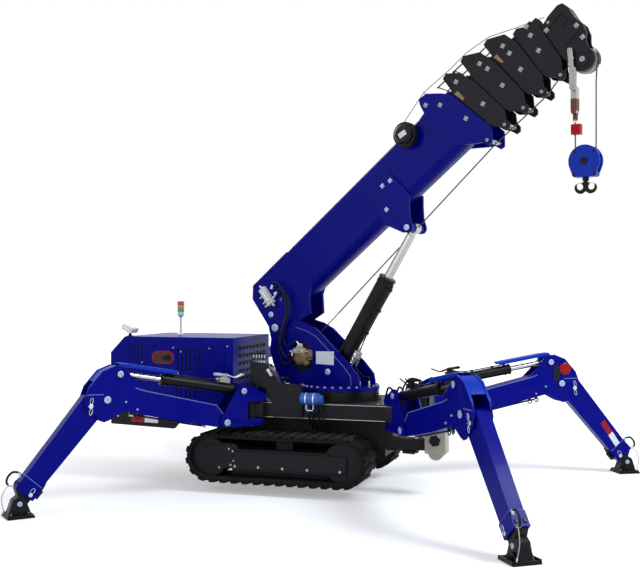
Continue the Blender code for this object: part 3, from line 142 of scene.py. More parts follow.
def join(tree: bpy.types.NodeTree, *links: tuple[bpy.types.Node, str, bpy.types.Node, str | int]) -> None:
    """Joins nodes, each link given as a node, its output, the next node and its input."""
    for source, output, target, socket in links:
        tree.links.new(source.outputs[output], target.inputs[socket])


class Groups:
    """Shader node groups that several finishes share, each built once."""

    made: dict[str, bpy.types.NodeTree] = {}

    @classmethod
    def start(cls, name: str, inputs: dict[str, float], outputs: Sequence[str]) -> bpy.types.NodeTree:
        """Makes an empty group with float sockets.

        Args:
            name: the group's name.
            inputs: input names with their default values.
            outputs: output names.

        Returns:
            The new node tree.
        """
        tree = bpy.data.node_groups.new(name, "ShaderNodeTree")
        for label, value in inputs.items():
            socket = tree.interface.new_socket(label, in_out="INPUT", socket_type="NodeSocketFloat")
            socket.default_value = value
        for label in outputs:
            tree.interface.new_socket(label, in_out="OUTPUT", socket_type="NodeSocketFloat")
        cls.made[name] = tree
        return tree

    @classmethod
    def grain(cls) -> bpy.types.NodeTree:
        """Fine skin of a coat or casting: a height and a slow change of tone."""
        if "surface_grain" in cls.made:
            return cls.made["surface_grain"]
        tree = cls.start("surface_grain", {"Scale": 400.0, "Tone Scale": 3.0}, ("Height", "Tone"))
        n, link = tree.nodes, tree.links.new
        a, out = n.new("NodeGroupInput"), n.new("NodeGroupOutput")
        place = n.new("ShaderNodeTexCoord")
        fine, slow = make(n, "TexNoise", "TexNoise")
        fine.inputs["Detail"].default_value = 3.0
        slow.inputs["Detail"].default_value = 4.0
        for noise, socket in ((fine, "Scale"), (slow, "Tone Scale")):
            link(place.outputs["Object"], noise.inputs["Vector"])
            link(a.outputs[socket], noise.inputs["Scale"])
        join(tree, (fine, "Fac", out, "Height"), (slow, "Fac", out, "Tone"))
        return tree

    @classmethod
    def dust(cls) -> bpy.types.NodeTree:
        """Dust that lies on faces that look up, broken by a patchy noise."""
        if "settled_dust" in cls.made:
            return cls.made["settled_dust"]
        tree = cls.start("settled_dust", {"Amount": 0.3, "Patch Scale": 6.0}, ("Mask",))
        n = tree.nodes
        a, out = n.new("NodeGroupInput"), n.new("NodeGroupOutput")
        place, facing = make(n, "TexCoord", "NewGeometry")
        split, patch = make(n, "SeparateXYZ", "TexNoise")
        patch.inputs["Detail"].default_value = 6.0
        up, mix, cut = make(n, "MapRange", "Math", "Math")
        up.inputs["From Min"].default_value = 0.2
        mix.operation = cut.operation = "MULTIPLY"
        join(
            tree, (facing, "Normal", split, "Vector"), (split, "Z", up, "Value"),
            (place, "Object", patch, "Vector"), (a, "Patch Scale", patch, "Scale"), (up, "Result", mix, 0),
            (patch, "Fac", mix, 1), (mix, "Value", cut, 0), (a, "Amount", cut, 1),
            (cut, "Value", out, "Mask"))
        return tree

    @classmethod
    def scuffs(cls) -> bpy.types.NodeTree:
        """Thin rubbed marks, as on sliding metal and rubber."""
        if "rubbed_marks" in cls.made:
            return cls.made["rubbed_marks"]
        tree = cls.start("rubbed_marks", {"Scale": 14.0, "Level": 0.62}, ("Mask",))
        n = tree.nodes
        a, out = n.new("NodeGroupInput"), n.new("NodeGroupOutput")
        place, stretch = make(n, "TexCoord", "Mapping")
        noise, cut, soft = make(n, "TexNoise", "Math", "Math")
        stretch.inputs["Scale"].default_value = (1.0, 1.0, 5.0)
        noise.inputs["Detail"].default_value = 8.0
        cut.operation, soft.operation = "SUBTRACT", "MULTIPLY"
        cut.use_clamp = soft.use_clamp = True
        soft.inputs[1].default_value = 9.0
        join(
            tree, (place, "Object", stretch, "Vector"), (stretch, "Vector", noise, "Vector"),
            (a, "Scale", noise, "Scale"), (noise, "Fac", cut, 0), (a, "Level", cut, 1),
            (cut, "Value", soft, 0), (soft, "Value", out, "Mask"))
        return tree


@dataclass(frozen=True)
class Finish:
    """One surface finish with its procedural detail."""

    role: Role
    colour: Point
    roughness: float = 0.4
    metallic: float = 0.0
    specular: float = 0.5
    coat: float = 0.0
    grain: float = 300.0
    bump: float = 0.02
    tone: float = 0.1
    dust: float = 0.15
    dust_colour: Point = (0.42, 0.4, 0.37)
    scuff: float = 0.0
    scuff_colour: Point = (0.35, 0.34, 0.33)

    def material(self) -> bpy.types.Material:
        """Builds the material, once.

        Returns:
            The material of this finish.
        """
        found = bpy.data.materials.get(self.role.value)
        if found:
            return found
        made = bpy.data.materials.new(self.role.value)
        made.use_nodes = True
        n, link = made.node_tree.nodes, made.node_tree.links.new
        shader = n["Principled BSDF"]
        put(shader, {
            "Metallic": self.metallic, "Specular IOR Level": self.specular, "Coat Weight": self.coat,
            "Coat Roughness": 0.06})
        grain = n.new("ShaderNodeGroup")
        grain.node_tree = Groups.grain()
        grain.inputs["Scale"].default_value = self.grain
        tone = n.new("ShaderNodeMix")
        tone.data_type = "RGBA"
        dark, light = ([min(1.0, c * (1 + way * self.tone)) for c in self.colour] for way in (-1, 1))
        put(tone, {"A": (*dark, 1.0), "B": (*light, 1.0)})
        link(grain.outputs["Tone"], tone.inputs["Factor"])
        last = tone.outputs["Result"]
        rough = n.new("ShaderNodeMapRange")
        put(rough, {"To Min": max(0.02, self.roughness - 0.06), "To Max": min(1.0, self.roughness + 0.06)})
        link(grain.outputs["Tone"], rough.inputs["Value"])
        for amount, group, colour in (
                (self.dust, Groups.dust, self.dust_colour), (self.scuff, Groups.scuffs, self.scuff_colour)):
            if not amount:
                continue
            layer, over = make(n, "Group", "Mix")
            layer.node_tree = group()
            over.data_type = "RGBA"
            over.inputs["B"].default_value = (*colour, 1.0)
            link(last, over.inputs["A"])
            last = over.outputs["Result"]
            if group == Groups.dust:
                layer.inputs["Amount"].default_value = amount
                link(layer.outputs["Mask"], over.inputs["Factor"])
            else:
                part = n.new("ShaderNodeMath")
                part.operation = "MULTIPLY"
                part.inputs[1].default_value = amount
                join(made.node_tree, (layer, "Mask", part, 0), (part, "Value", over, "Factor"))
        link(last, shader.inputs["Base Color"])
        link(rough.outputs["Result"], shader.inputs["Roughness"])
        bump = n.new("ShaderNodeBump")
        put(bump, {"Strength": self.bump * 4, "Distance": 0.002})
        join(made.node_tree, (grain, "Height", bump, "Height"), (bump, "Normal", shader, "Normal"))
        return made


FINISHES = {finish.role: finish for finish in (
    Finish(Role.BLUE, (0.0008, 0.0024, 0.205), 0.32, specular=0.055, coat=0.02, grain=260, bump=0.015,
           dust=0.006, dust_colour=(0.3, 0.38, 0.52)),
    Finish(Role.DARK, (0.0125, 0.0115, 0.0145), 0.46, specular=0.12, grain=420, bump=0.04, dust=0.04),
    Finish(Role.BLACK, (0.005, 0.0046, 0.0054), 0.34, specular=0.14, grain=300, bump=0.03, dust=0.02),
    Finish(Role.HEAD, (0.0115, 0.01, 0.014), 0.44, specular=0.12, grain=340, bump=0.04, dust=0.02),
    Finish(Role.RUBBER, (0.007, 0.0068, 0.0078), 0.75, specular=0.12, grain=520, bump=0.16, dust=0.08,
           scuff=0.06),
    Finish(Role.HOSE, (0.0045, 0.0045, 0.0065), 0.44, specular=0.16, grain=700, bump=0.06, dust=0.02),
    Finish(Role.CHROME, (0.44, 0.43, 0.43), 0.22, 1.0, grain=600, bump=0.006, tone=0.04, dust=0.0),
    Finish(Role.STEEL, (0.34, 0.33, 0.32), 0.4, 0.9, grain=500, bump=0.05, dust=0.03, scuff=0.2,
           scuff_colour=(0.18, 0.15, 0.12)),
    Finish(Role.PIN, (0.4, 0.46, 0.64), 0.4, 0.4, grain=500, bump=0.03, dust=0.02),
    Finish(Role.BRONZE, (0.2, 0.135, 0.075), 0.48, 0.45, specular=0.35, grain=320, bump=0.1, tone=0.25,
           dust=0.03, scuff=0.25, scuff_colour=(0.07, 0.04, 0.022)),
    Finish(Role.BEIGE, (0.42, 0.38, 0.31), 0.52, specular=0.35, grain=320, bump=0.05, dust=0.04),
    Finish(Role.AZURE, (0.006, 0.085, 0.4), 0.38, specular=0.35, coat=0.2, grain=260, bump=0.03, dust=0.02),
    Finish(Role.RED, (0.4, 0.003, 0.014), 0.42, specular=0.12, grain=300, bump=0.03, dust=0.03),
    Finish(Role.LAMP_RED, (0.4, 0.05, 0.035), 0.22, coat=0.4, grain=200, bump=0.01, dust=0.02),
    Finish(Role.LAMP_AMBER, (0.66, 0.24, 0.03), 0.22, coat=0.4, grain=200, bump=0.01, dust=0.02),
    Finish(Role.LAMP_GREEN, (0.04, 0.3, 0.17), 0.22, coat=0.4, grain=200, bump=0.01, dust=0.02),
    Finish(Role.PALE, (0.68, 0.7, 0.72), 0.34, coat=0.1, grain=300, bump=0.02, tone=0.05, dust=0.03),
    Finish(Role.WHITE, (0.7, 0.73, 0.78), 0.38, grain=300, bump=0.01, tone=0.04, dust=0.02),
    Finish(Role.SILVER, (0.6, 0.62, 0.66), 0.28, 0.85, grain=500, bump=0.03, dust=0.02),
    Finish(Role.ENGINE, (0.06, 0.06, 0.065), 0.6, 0.3, grain=200, bump=0.15, dust=0.2),
    Finish(Role.REFLECT, (0.34, 0.003, 0.01), 0.3, specular=0.15, coat=0.1, grain=900, bump=0.1, dust=0.02),
    Finish(Role.CREAM, (0.62, 0.56, 0.44), 0.44, grain=300, bump=0.03, dust=0.03),
    Finish(Role.ROPE, (0.055, 0.055, 0.06), 0.42, 0.6, grain=900, bump=0.3, dust=0.0),
    Finish(Role.LENS, (0.22, 0.3, 0.72), 0.25, coat=0.3, grain=300, bump=0.02, dust=0.02),
    Finish(Role.CLEAR, (0.42, 0.66, 0.66), 0.22, coat=0.3, grain=200, bump=0.01, dust=0.02),
    # Pale blue edge lines: painted highlight, not a paint of their own.
    Finish(Role.EDGE_HIGHLIGHT, (0.16, 0.21, 0.62), 0.4, specular=0.3, grain=300, bump=0.02, dust=0.02),
    # Lighter copy of the blue paint: painted highlight on covers, guards and hook block cheeks.
    Finish(Role.HIGHLIGHT_BLUE, (0.002, 0.03, 0.4), 0.34, specular=0.1, grain=300, bump=0.03, dust=0.006,
           dust_colour=(0.3, 0.38, 0.52)),
    Finish(Role.COPPER, (0.11, 0.034, 0.02), 0.5, 0.3, specular=0.3, grain=320, bump=0.08, tone=0.2,
           dust=0.02),
    Finish(Role.GREY, (0.36, 0.35, 0.345), 0.48, 0.3, specular=0.3, grain=300, bump=0.04, dust=0.02),
    Finish(Role.MAROON, (0.045, 0.008, 0.01), 0.5, specular=0.3, grain=300, bump=0.04, dust=0.02),
)}


@dataclass(frozen=True)
class Place:
    """A frame on the machine: along, rise and side at right angles."""

    origin: Vector
    along: Vector
    rise: Vector
    side: Vector

    @classmethod
    def level(cls, origin: Sequence[float]) -> "Place":
        """A frame along the machine's own X, Z and near side."""
        return cls(Vector(origin), Vector((1, 0, 0)), Vector((0, 0, 1)), Vector((0, -1, 0)))

    @classmethod
    def upright(cls, origin: Sequence[float]) -> "Place":
        """A frame whose side axis looks up, for bolts on a deck."""
        return cls(Vector(origin), Vector((1, 0, 0)), Vector((0, 1, 0)), Vector((0, 0, 1)))

    @classmethod
    def on(
            cls, origin: Sequence[float], side: Sequence[float],
            along: Sequence[float] | None = None) -> "Place":
        """A frame about a hinge axis.

        Args:
            origin: a point on the axis.
            side: the axis.
            along: the local X direction, or None for the level one.

        Returns:
            The frame.
        """
        s = Vector(side).normalized()
        a = Vector(along).normalized() if along is not None else Vector((-s.y, s.x, 0)).normalized()
        return cls(Vector(origin), a, s.cross(a), s)

    def at(self, x: float, y: float, z: float = 0.0) -> Vector:
        """The machine's point at local coordinates."""
        return self.origin + self.along * x + self.rise * y + self.side * z

    def path(self, points: Sequence[Sequence[float]], side: float = 0.0) -> list[Vector]:
        """The machine's points of local ones, which may leave out their side position."""
        return [self.at(*(*point, side)[:3]) for point in points]

    def moved(self, x: float, y: float, z: float = 0.0, turn: float = 0.0) -> "Place":
        """The frame shifted and turned.

        Args:
            x: shift along.
            y: shift in rise.
            z: shift along the side axis.
            turn: degrees about the side axis.

        Returns:
            The new frame.
        """
        a = math.radians(turn)
        along = self.along * math.cos(a) + self.rise * math.sin(a)
        return Place(self.at(x, y, z), along, self.side.cross(along), self.side)


def spokes(sides: int) -> list[Flat]:
    """Cosine and sine of even steps round a circle."""
    return [(math.cos(2 * math.pi * k / sides), math.sin(2 * math.pi * k / sides)) for k in range(sides)]


def polar(x: float, y: float, radius: float, degrees: float) -> Flat:
    """The point at a distance and direction from another."""
    return x + radius * math.cos(math.radians(degrees)), y + radius * math.sin(math.radians(degrees))


def circle(
        x: float, y: float, radius: float, start: float = 0.0, end: float = 360.0,
        count: int = 24) -> list[Flat]:
    """Points on an arc, or on a full circle without its last point.

    Args:
        x: the centre, along.
        y: the centre, in rise.
        radius: half the circle's diameter.
        start: the first point's direction, in degrees.
        end: the last point's direction, in degrees.
        count: how many points.

    Returns:
        The points.
    """
    steps = count if abs(end - start) >= 360.0 else count - 1
    return [polar(x, y, radius, start + (end - start) * i / steps) for i in range(count)]


def spline(points: Sequence[Sequence[float]], steps: int = 6) -> list[Vector]:
    """A smooth curve through points.

    Args:
        points: what it runs through.
        steps: short steps from each point to the next.

    Returns:
        Many points on the curve.
    """
    given = [Vector(p) for p in points]
    ends = [2 * given[0] - given[1], *given, 2 * given[-1] - given[-2]]
    made: list[Vector] = []
    for i in range(1, len(ends) - 2):
        p0, p1, p2, p3 = ends[i - 1:i + 3]
        for k in range(steps):
            t = k / steps
            made.append(0.5 * (
                2 * p1 + (p2 - p0) * t + (2 * p0 - 5 * p1 + 4 * p2 - p3) * t * t
                + (3 * p1 - p0 - 3 * p2 + p3) * t ** 3))
    return [*made, given[-1]]


class Shape:
    """A mesh in the making, drawn in the frame of a place."""

    def __init__(self, place: Place) -> None:
        """Starts an empty mesh."""
        self.bm = bmesh.new()
        self.place = place

    def loft(self, rings: Sequence[Sequence[Vector]], closed: bool = False) -> None:
        """Skins rings of equal count.

        Args:
            rings: points of each ring.
            closed: whether the last ring joins the first; if not, both ends get a face.
        """
        rows = [[self.bm.verts.new(p) for p in ring] for ring in rings]
        count = len(rows[0])
        pairs = list(zip(rows, rows[1:])) + ([(rows[-1], rows[0])] if closed else [])
        for low, high in pairs:
            for i in range(count):
                j = (i + 1) % count
                self.bm.faces.new((low[i], low[j], high[j], high[i]))
        if not closed:
            self.bm.faces.new(rows[0][::-1])
            self.bm.faces.new(rows[-1])

    def plate(self, outline: Sequence[Flat], low: float, high: float) -> "Shape":
        """An outline in along and rise, thick between two positions along side, in either order."""
        self.loft([[self.place.at(x, y, z) for x, y in outline] for z in sorted((low, high))])
        return self

    def box(self, low: Point, high: Point) -> "Shape":
        """A box between two local corners."""
        (x0, y0, z0), (x1, y1, z1) = low, high
        return self.plate([(x0, y0), (x1, y0), (x1, y1), (x0, y1)], z0, z1)

    def rod(self, a: Point, b: Point, radius: float, sides: int = 20, end: float | None = None) -> "Shape":
        """A round bar or cone between two local points."""
        return self.tube([self.place.at(*a), self.place.at(*b)], radius, sides, end)

    def tube(
            self, path: Sequence[Vector], radius: float, sides: int = 10,
            end: float | None = None) -> "Shape":
        """A round tube along machine points, with an even frame along it.

        Args:
            path: points of its middle line.
            radius: half its thickness.
            sides: corners of its section.
            end: its radius at the last point, where that differs.

        Returns:
            The shape itself.
        """
        up = (path[1] - path[0]).normalized().orthogonal().normalized()
        rings = []
        for i, point in enumerate(path):
            ahead = (path[min(i + 1, len(path) - 1)] - path[max(i - 1, 0)]).normalized()
            up = (up - ahead * up.dot(ahead)).normalized()
            right = ahead.cross(up)
            r = radius if end is None else radius + (end - radius) * i / (len(path) - 1)
            rings.append([point + (up * c + right * s) * r for c, s in spokes(sides)])
        self.loft(rings)
        return self

    def lathe(
            self, x: float, y: float, profile: Sequence[Flat], sides: int = 32,
            closed: bool = False) -> "Shape":
        """A profile turned about a local side axis.

        Args:
            x: the axis, along.
            y: the axis, in rise.
            profile: radius and side position of each corner.
            sides: corners of its circle.
            closed: whether the profile closes on itself, as a hoop's section does.

        Returns:
            The shape itself.
        """
        self.loft(
            [[self.place.at(x + r * c, y + r * s, z) for c, s in spokes(sides)] for r, z in profile],
            closed=closed)
        return self

    def hoop(self, x: float, y: float, profile: Sequence[Flat], sides: int = 32) -> "Shape":
        """A closed section of radius and side position turned about a local side axis."""
        return self.lathe(x, y, profile, sides, True)

    def coil(self, a: Point, b: Point, radius: float, wire: float, turns: int) -> "Shape":
        """A spring of round wire between two local points.

        Args:
            a: the start of its axis.
            b: the end of its axis.
            radius: from the axis to the middle of the wire.
            wire: half the wire's thickness.
            turns: how often it runs round.

        Returns:
            The shape itself.
        """
        start, end = self.place.at(*a), self.place.at(*b)
        way = (end - start).normalized()
        up = way.orthogonal().normalized()
        right = way.cross(up)
        steps = turns * 12
        path = [
            start.lerp(end, k / steps)
            + (up * math.cos(math.pi * k / 6) + right * math.sin(math.pi * k / 6)) * radius
            for k in range(steps + 1)]
        return self.tube(path, wire, 5)

    def spin(self, a: Point, axis: Vector, profile: Sequence[Flat], sides: int = 28) -> "Shape":
        """A profile turned about any axis.

        Args:
            a: a local point on the axis.
            axis: its direction on the machine.
            profile: radius and distance along the axis of each corner.
            sides: corners of its circle.

        Returns:
            The shape itself.
        """
        base, way = self.place.at(*a), axis.normalized()
        up = way.orthogonal().normalized()
        right = way.cross(up)
        self.loft([
            [base + way * d + (up * c + right * s) * r for c, s in spokes(sides)] for r, d in profile])
        return self

    def hex_bolt(self, at: Point, out: float, size: float = 0.011, height: float = 0.008) -> None:
        """Adds a bolt head with its washer on a face that looks along the side axis.

        Args:
            at: the middle of its seat.
            out: 1 or -1, the way it looks.
            size: half the width over its corners.
            height: its height over the face.
        """
        x, y, z = at
        self.lathe(x, y, [(size * 1.25, z), (size * 1.25, z + out * 0.002)], 16)
        self.plate(circle(x, y, size, 0, 360, 6), z + out * 0.001, z + out * height)

    def pin_head(self, x: float, y: float, z: float, out: float, radius: float = 0.024) -> None:
        """Adds a pin's end with its centre hole and rim, looking along the side axis.

        Args:
            x: its place along.
            y: its rise.
            z: the face it stands on.
            out: 1 or -1, the way it looks.
            radius: half its diameter.
        """
        rim, floor = z + out * 0.01, z + out * 0.004
        self.lathe(x, y, [
            (radius, z), (radius, z + out * 0.008), (radius * 0.82, rim), (radius * 0.42, rim),
            (radius * 0.34, floor), (0.0005, floor)], 20)

    def build(
            self, name: str, role: Role, body: str, bevel: float = 0.0, angle: float = 34.0,
            replaces: Sequence[str] = ()) -> bpy.types.Object:
        """Ends the mesh as a piece of the model.

        Args:
            name: the piece's name.
            role: its finish.
            body: the CAD body it rides on.
            bevel: width of its rounded edges, or 0.
            angle: edges sharper than this stay sharp, in degrees.
            replaces: CAD nodes that it stands for.

        Returns:
            The object.
        """
        bmesh.ops.recalc_face_normals(self.bm, faces=self.bm.faces)
        mesh = bpy.data.meshes.new(name)
        self.bm.to_mesh(mesh)
        self.bm.free()
        return settle(bpy.data.objects.new(name, mesh), role, body, bevel, angle, replaces)


def settle(
        piece: bpy.types.Object, role: Role, body: str, bevel: float, angle: float,
        replaces: Sequence[str] = ()) -> bpy.types.Object:
    """Links a piece, gives it its finish, shading and rounded edges, and lets it ride.

    Args:
        piece: the new object.
        role: its finish.
        body: the CAD body it rides on, or nothing where it bends between two.
        bevel: width of its rounded edges, or 0.
        angle: edges sharper than this stay sharp, in degrees.
        replaces: CAD nodes that it stands for.

    Returns:
        The piece.
    """
    bpy.context.scene.collection.objects.link(piece)
    piece.data.materials.clear()
    piece.data.materials.append(FINISHES[role].material())
    piece.data.shade_smooth()
    piece.data.set_sharp_from_angle(angle=math.radians(angle))
    if bevel:
        edge = piece.modifiers.new("rounded_edges", "BEVEL")
        edge.width, edge.segments, edge.limit_method = bevel, 2, "ANGLE"
        edge.angle_limit = math.radians(angle)
        edge.use_clamp_overlap = True
    if replaces:
        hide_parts(*replaces)
    if body:
        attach(piece, body)
    return piece


def dress(node: str, role: Role, bevel: float = 0.0025, angle: float = 34.0) -> bpy.types.Object:
    """A copy of a CAD node with rounded edges, which stands for it.

    Args:
        node: the CAD node.
        role: its finish.
        bevel: width of the rounded edges.
        angle: edges sharper than this are rounded, in degrees.

    Returns:
        The copy.
    """
    source = frame["nodes"][node]
    bm = bmesh.new()
    bm.from_mesh(source.data)
    bmesh.ops.remove_doubles(bm, verts=bm.verts, dist=0.00002)
    bmesh.ops.dissolve_limit(bm, angle_limit=0.02, verts=bm.verts, edges=bm.edges)
    mesh = bpy.data.meshes.new(f"{node}_skin")
    bm.to_mesh(mesh)
    bm.free()
    return settle(
        bpy.data.objects.new(f"{node}_skin", mesh), role, source["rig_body"], bevel, angle, (node,))


@dataclass
class Studio:
    """Floor, light and camera."""

    eye: Point = (2.452, -8.191, 1.65)
    yaw: float = 0.3104
    focal: float = 1008.46
    level_row: float = 289.94
    frame_width: float = 640.0
    frame_height: float = 569.0

    def floor(self) -> None:
        """Lays a pale floor that shows white and keeps the shadow."""
        mesh = bpy.data.meshes.new("studio_floor")
        bm = bmesh.new()
        bmesh.ops.create_grid(bm, x_segments=1, y_segments=1, size=60.0)
        bm.to_mesh(mesh)
        bm.free()
        floor = bpy.data.objects.new("studio_floor", mesh)
        floor.location.z = -0.001
        bpy.context.scene.collection.objects.link(floor)
        pale = bpy.data.materials.new("studio_pale")
        pale.use_nodes = True
        shader = pale.node_tree.nodes["Principled BSDF"]
        put(shader, {"Base Color": (0.8, 0.8, 0.81, 1.0), "Roughness": 0.9, "Specular IOR Level": 0.0})
        n = pale.node_tree.nodes
        ray, seen, lift = make(n, "LightPath", "Math", "Math")
        glow, both = make(n, "Emission", "AddShader")
        seen.operation, lift.operation = "MAXIMUM", "MULTIPLY"
        place, reach, fade = make(n, "TexCoord", "VectorMath", "MapRange")
        reach.operation = "LENGTH"
        for socket, value in (("From Min", 2.5), ("From Max", 9.0), ("To Min", 0.34), ("To Max", 0.95)):
            fade.inputs[socket].default_value = value
        join(
            pale.node_tree, (place, "Object", reach, 0), (reach, "Value", fade, "Value"),
            (fade, "Result", lift, 1), (ray, "Is Camera Ray", seen, 0), (ray, "Is Glossy Ray", seen, 1),
            (seen, "Value", lift, 0), (lift, "Value", glow, "Strength"), (shader, "BSDF", both, 0),
            (glow, "Emission", both, 1), (both, "Shader", n["Material Output"], "Surface"))
        mesh.materials.append(pale)

    def world(self) -> None:
        """Sets a soft even sky that the camera sees as white."""
        world = bpy.data.worlds.new("studio_sky")
        bpy.context.scene.world = world
        world.use_nodes = True
        n = world.node_tree.nodes
        base = n["Background"]
        put(base, {"Color": (0.93, 0.95, 1.0, 1.0), "Strength": 0.5})
        white, ray, mix = make(n, "Background", "LightPath", "MixShader")
        white.inputs["Color"].default_value = (1, 1, 1, 1)
        seen, both = make(n, "Math", "Math")
        seen.operation = both.operation = "MAXIMUM"
        join(
            world.node_tree, (ray, "Is Camera Ray", seen, 0), (ray, "Is Glossy Ray", seen, 1),
            (seen, "Value", both, 0), (ray, "Is Transmission Ray", both, 1), (both, "Value", mix, "Fac"),
            (base, "Background", mix, 1), (white, "Background", mix, 2),
            (mix, "Shader", n["World Output"], "Surface"))

    def lamps(self) -> None:
        """Hangs three large soft lamps."""
        day, sky = (1.0, 1.0, 1.0), (0.84, 0.92, 1.0)
        for name, at, size, power, tint in (
                ("key", (6.5, -1.5, 7.5), 3.0, 660.0, sky), ("fill", (-4.5, -7.0, 4.5), 6.0, 165.0, day),
                ("rim", (-5.0, 5.0, 6.0), 4.0, 130.0, day)):
            data = bpy.data.lights.new(f"studio_{name}", "AREA")
            data.size, data.energy, data.color = size, power, tint
            lamp = bpy.data.objects.new(f"studio_{name}", data)
            lamp.location = at
            lamp.rotation_euler = (Vector((0, 0, 1.2)) - Vector(at)).to_track_quat("-Z", "Y").to_euler()
            bpy.context.scene.collection.objects.link(lamp)

    def camera(self) -> None:
        """Stands the camera at the photograph's place, level, with its small vertical shift."""
        data = bpy.data.cameras.new("studio_camera")
        data.sensor_width = 36.0
        data.lens = self.focal / self.frame_width * 36.0
        data.shift_y = (self.level_row - self.frame_height / 2) / self.frame_width
        camera = bpy.data.objects.new("studio_camera", data)
        camera.location = (self.eye[0] + SLEW[0], self.eye[1] + SLEW[1], self.eye[2])
        camera.rotation_euler = (math.pi / 2, 0.0, self.yaw)
        bpy.context.scene.collection.objects.link(camera)
        bpy.context.scene.camera = camera

    def build(self) -> None:
        """Sets the whole studio and a plain view transform."""
        bpy.context.scene.view_settings.view_transform = "Standard"
        self.floor()
        self.world()
        self.lamps()
        self.camera()


@dataclass
class Tracks:
    """Rubber belts with slanted lugs and the bolted frames inside them."""

    lugs: int = 36
    carcass: float = 0.03
    lug_height: float = 0.016
    slant: float = 0.03
    steps: int = 140

    def belt(self, side: str) -> None:
        """Builds one belt as a loop with chevron lugs.

        Args:
            side: near or far.
        """
        node = f"track_{side}"
        low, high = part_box(node)
        outer = (high.z - low.z) / 2
        straight = (high.x - low.x) / 2 - outer
        place = Place.level(((low.x + high.x) / 2, (low.y + high.y) / 2, (low.z + high.z) / 2))
        half = (high.y - low.y) / 2
        pitch_radius = outer - self.lug_height
        length = 4 * straight + 2 * math.pi * pitch_radius

        def point(share: float, radius: float) -> Flat:
            """A point on the loop.

            Args:
                share: how far along the loop, 1 for once round.
                radius: its distance from the rollers' axes.

            Returns:
                The point in along and rise.
            """
            way = (share % 1.0) * length
            for sign in (1, -1):
                if way < 2 * straight:
                    return sign * (straight - way), sign * radius
                way -= 2 * straight
                if way < math.pi * pitch_radius:
                    a = math.pi / 2 + way / pitch_radius + (0 if sign > 0 else math.pi)
                    return -sign * straight + radius * math.cos(a), radius * math.sin(a)
                way -= math.pi * pitch_radius
            return straight, radius

        loop = Shape(place)
        rings = []
        for i in range(self.steps):
            ox, oy = point(i / self.steps, pitch_radius)
            ix, iy = point(i / self.steps, pitch_radius - self.carcass)
            rings.append([
                place.at(ox, oy, half), place.at(ox, oy, -half), place.at(ix, iy, -half),
                place.at(ix, iy, half)])
        loop.loft(rings, closed=True)
        for i in range(self.lugs):
            rows = []
            for z, drift in (
                    (-half + 0.002, 0.0), (-half * 0.12, self.slant), (half * 0.12, self.slant),
                    (half - 0.002, 0.0)):
                share = (i + 0.3) / self.lugs + drift / length
                wide = 0.3 / self.lugs
                rows.append([
                    place.at(*point(share - wide, pitch_radius - 0.002), z),
                    place.at(*point(share - wide * 0.72, outer), z),
                    place.at(*point(share + wide * 0.72, outer), z),
                    place.at(*point(share + wide, pitch_radius - 0.002), z)])
            loop.loft(rows)
        for i in range(self.lugs * 2):
            mid = point((i + 0.5) / (self.lugs * 2), pitch_radius - 0.004)
            for z in (-half, half):
                loop.plate(circle(*mid, 0.007, 0, 360, 8), z, z - math.copysign(0.004, z))
        loop.build(f"belt_{side}", Role.RUBBER, "carrier", angle=28.0, replaces=(node,))

    def side_gear(self, side: str) -> None:
        """Adds the bolts, hubs and cover plates on a track frame's outer face.

        Args:
            side: near or far.
        """
        dress(f"track_frame_{side}", Role.DARK, 0.003)
        low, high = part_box(f"track_frame_{side}")
        out = -1.0 if side == "near" else 1.0
        face = low.y if side == "near" else high.y
        place = Place.level(((low.x + high.x) / 2, 0.0, 0.0))
        belt_low, belt_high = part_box(f"track_{side}")
        axle = (belt_low.z + belt_high.z) / 2
        reach = (belt_high.x - belt_low.x) / 2 - (belt_high.z - belt_low.z) / 2
        z = -face
        bolts, gear = Shape(place), Shape(place)
        for x in (-0.336, -0.134, 0.072, 0.28, 0.55):
            bolts.hex_bolt((x, axle - 0.064, z - out * 0.01), out * -1, 0.009)
        gear.lathe(-reach, axle, [
            (0.085, z + out * 0.03), (0.085, z - out * 0.004), (0.06, z - out * 0.01),
            (0.034, z - out * 0.01), (0.03, z - out * 0.018), (0.0005, z - out * 0.018)], 32)
        gear.plate([
            (-0.345, axle - 0.086), (0.598, axle - 0.08), (0.602, axle + 0.046), (0.594, axle + 0.052),
            (-0.33, axle + 0.058), (-0.345, axle + 0.05)], z - out * 0.001, z - out * 0.01)
        gear.plate([
            (-0.345, axle - 0.097), (0.598, axle - 0.092), (0.598, axle - 0.084), (-0.345, axle - 0.088)],
            z + out * 0.004, z - out * 0.016)
        gear.lathe(0.16, axle + 0.03, [
            (0.02, z - out * 0.0095), (0.02, z - out * 0.0125), (0.012, z - out * 0.0125),
            (0.011, z - out * 0.0095)], 20)
        for x, y in ((0.176, 0.073), (0.208, 0.055), (0.215, -0.022), (0.19, -0.055), (0.09, -0.082)):
            bolts.hex_bolt((-reach + x, axle + y, z - out * 0.003), out * -1, 0.007)
        gear.plate([
            (-0.55, axle + 0.1), (-0.36, axle + 0.1), (-0.35, axle + 0.02), (-0.372, axle - 0.06),
            (-0.44, axle - 0.088), (-0.57, axle - 0.094), (-0.545, axle - 0.05), (-0.532, axle),
            (-0.545, axle + 0.06)], z - out * 0.003, z + out * 0.012)
        gear.box((-0.33, axle + 0.062, z), (0.46, axle + 0.072, z - out * 0.012))
        gear.build(f"track_cover_{side}", Role.DARK, "carrier", 0.003)
        bolts.build(f"track_bolts_{side}", Role.STEEL, "carrier")

    def build(self) -> None:
        """Builds both sides."""
        for side in ("near", "far"):
            self.belt(side)
            self.side_gear(side)


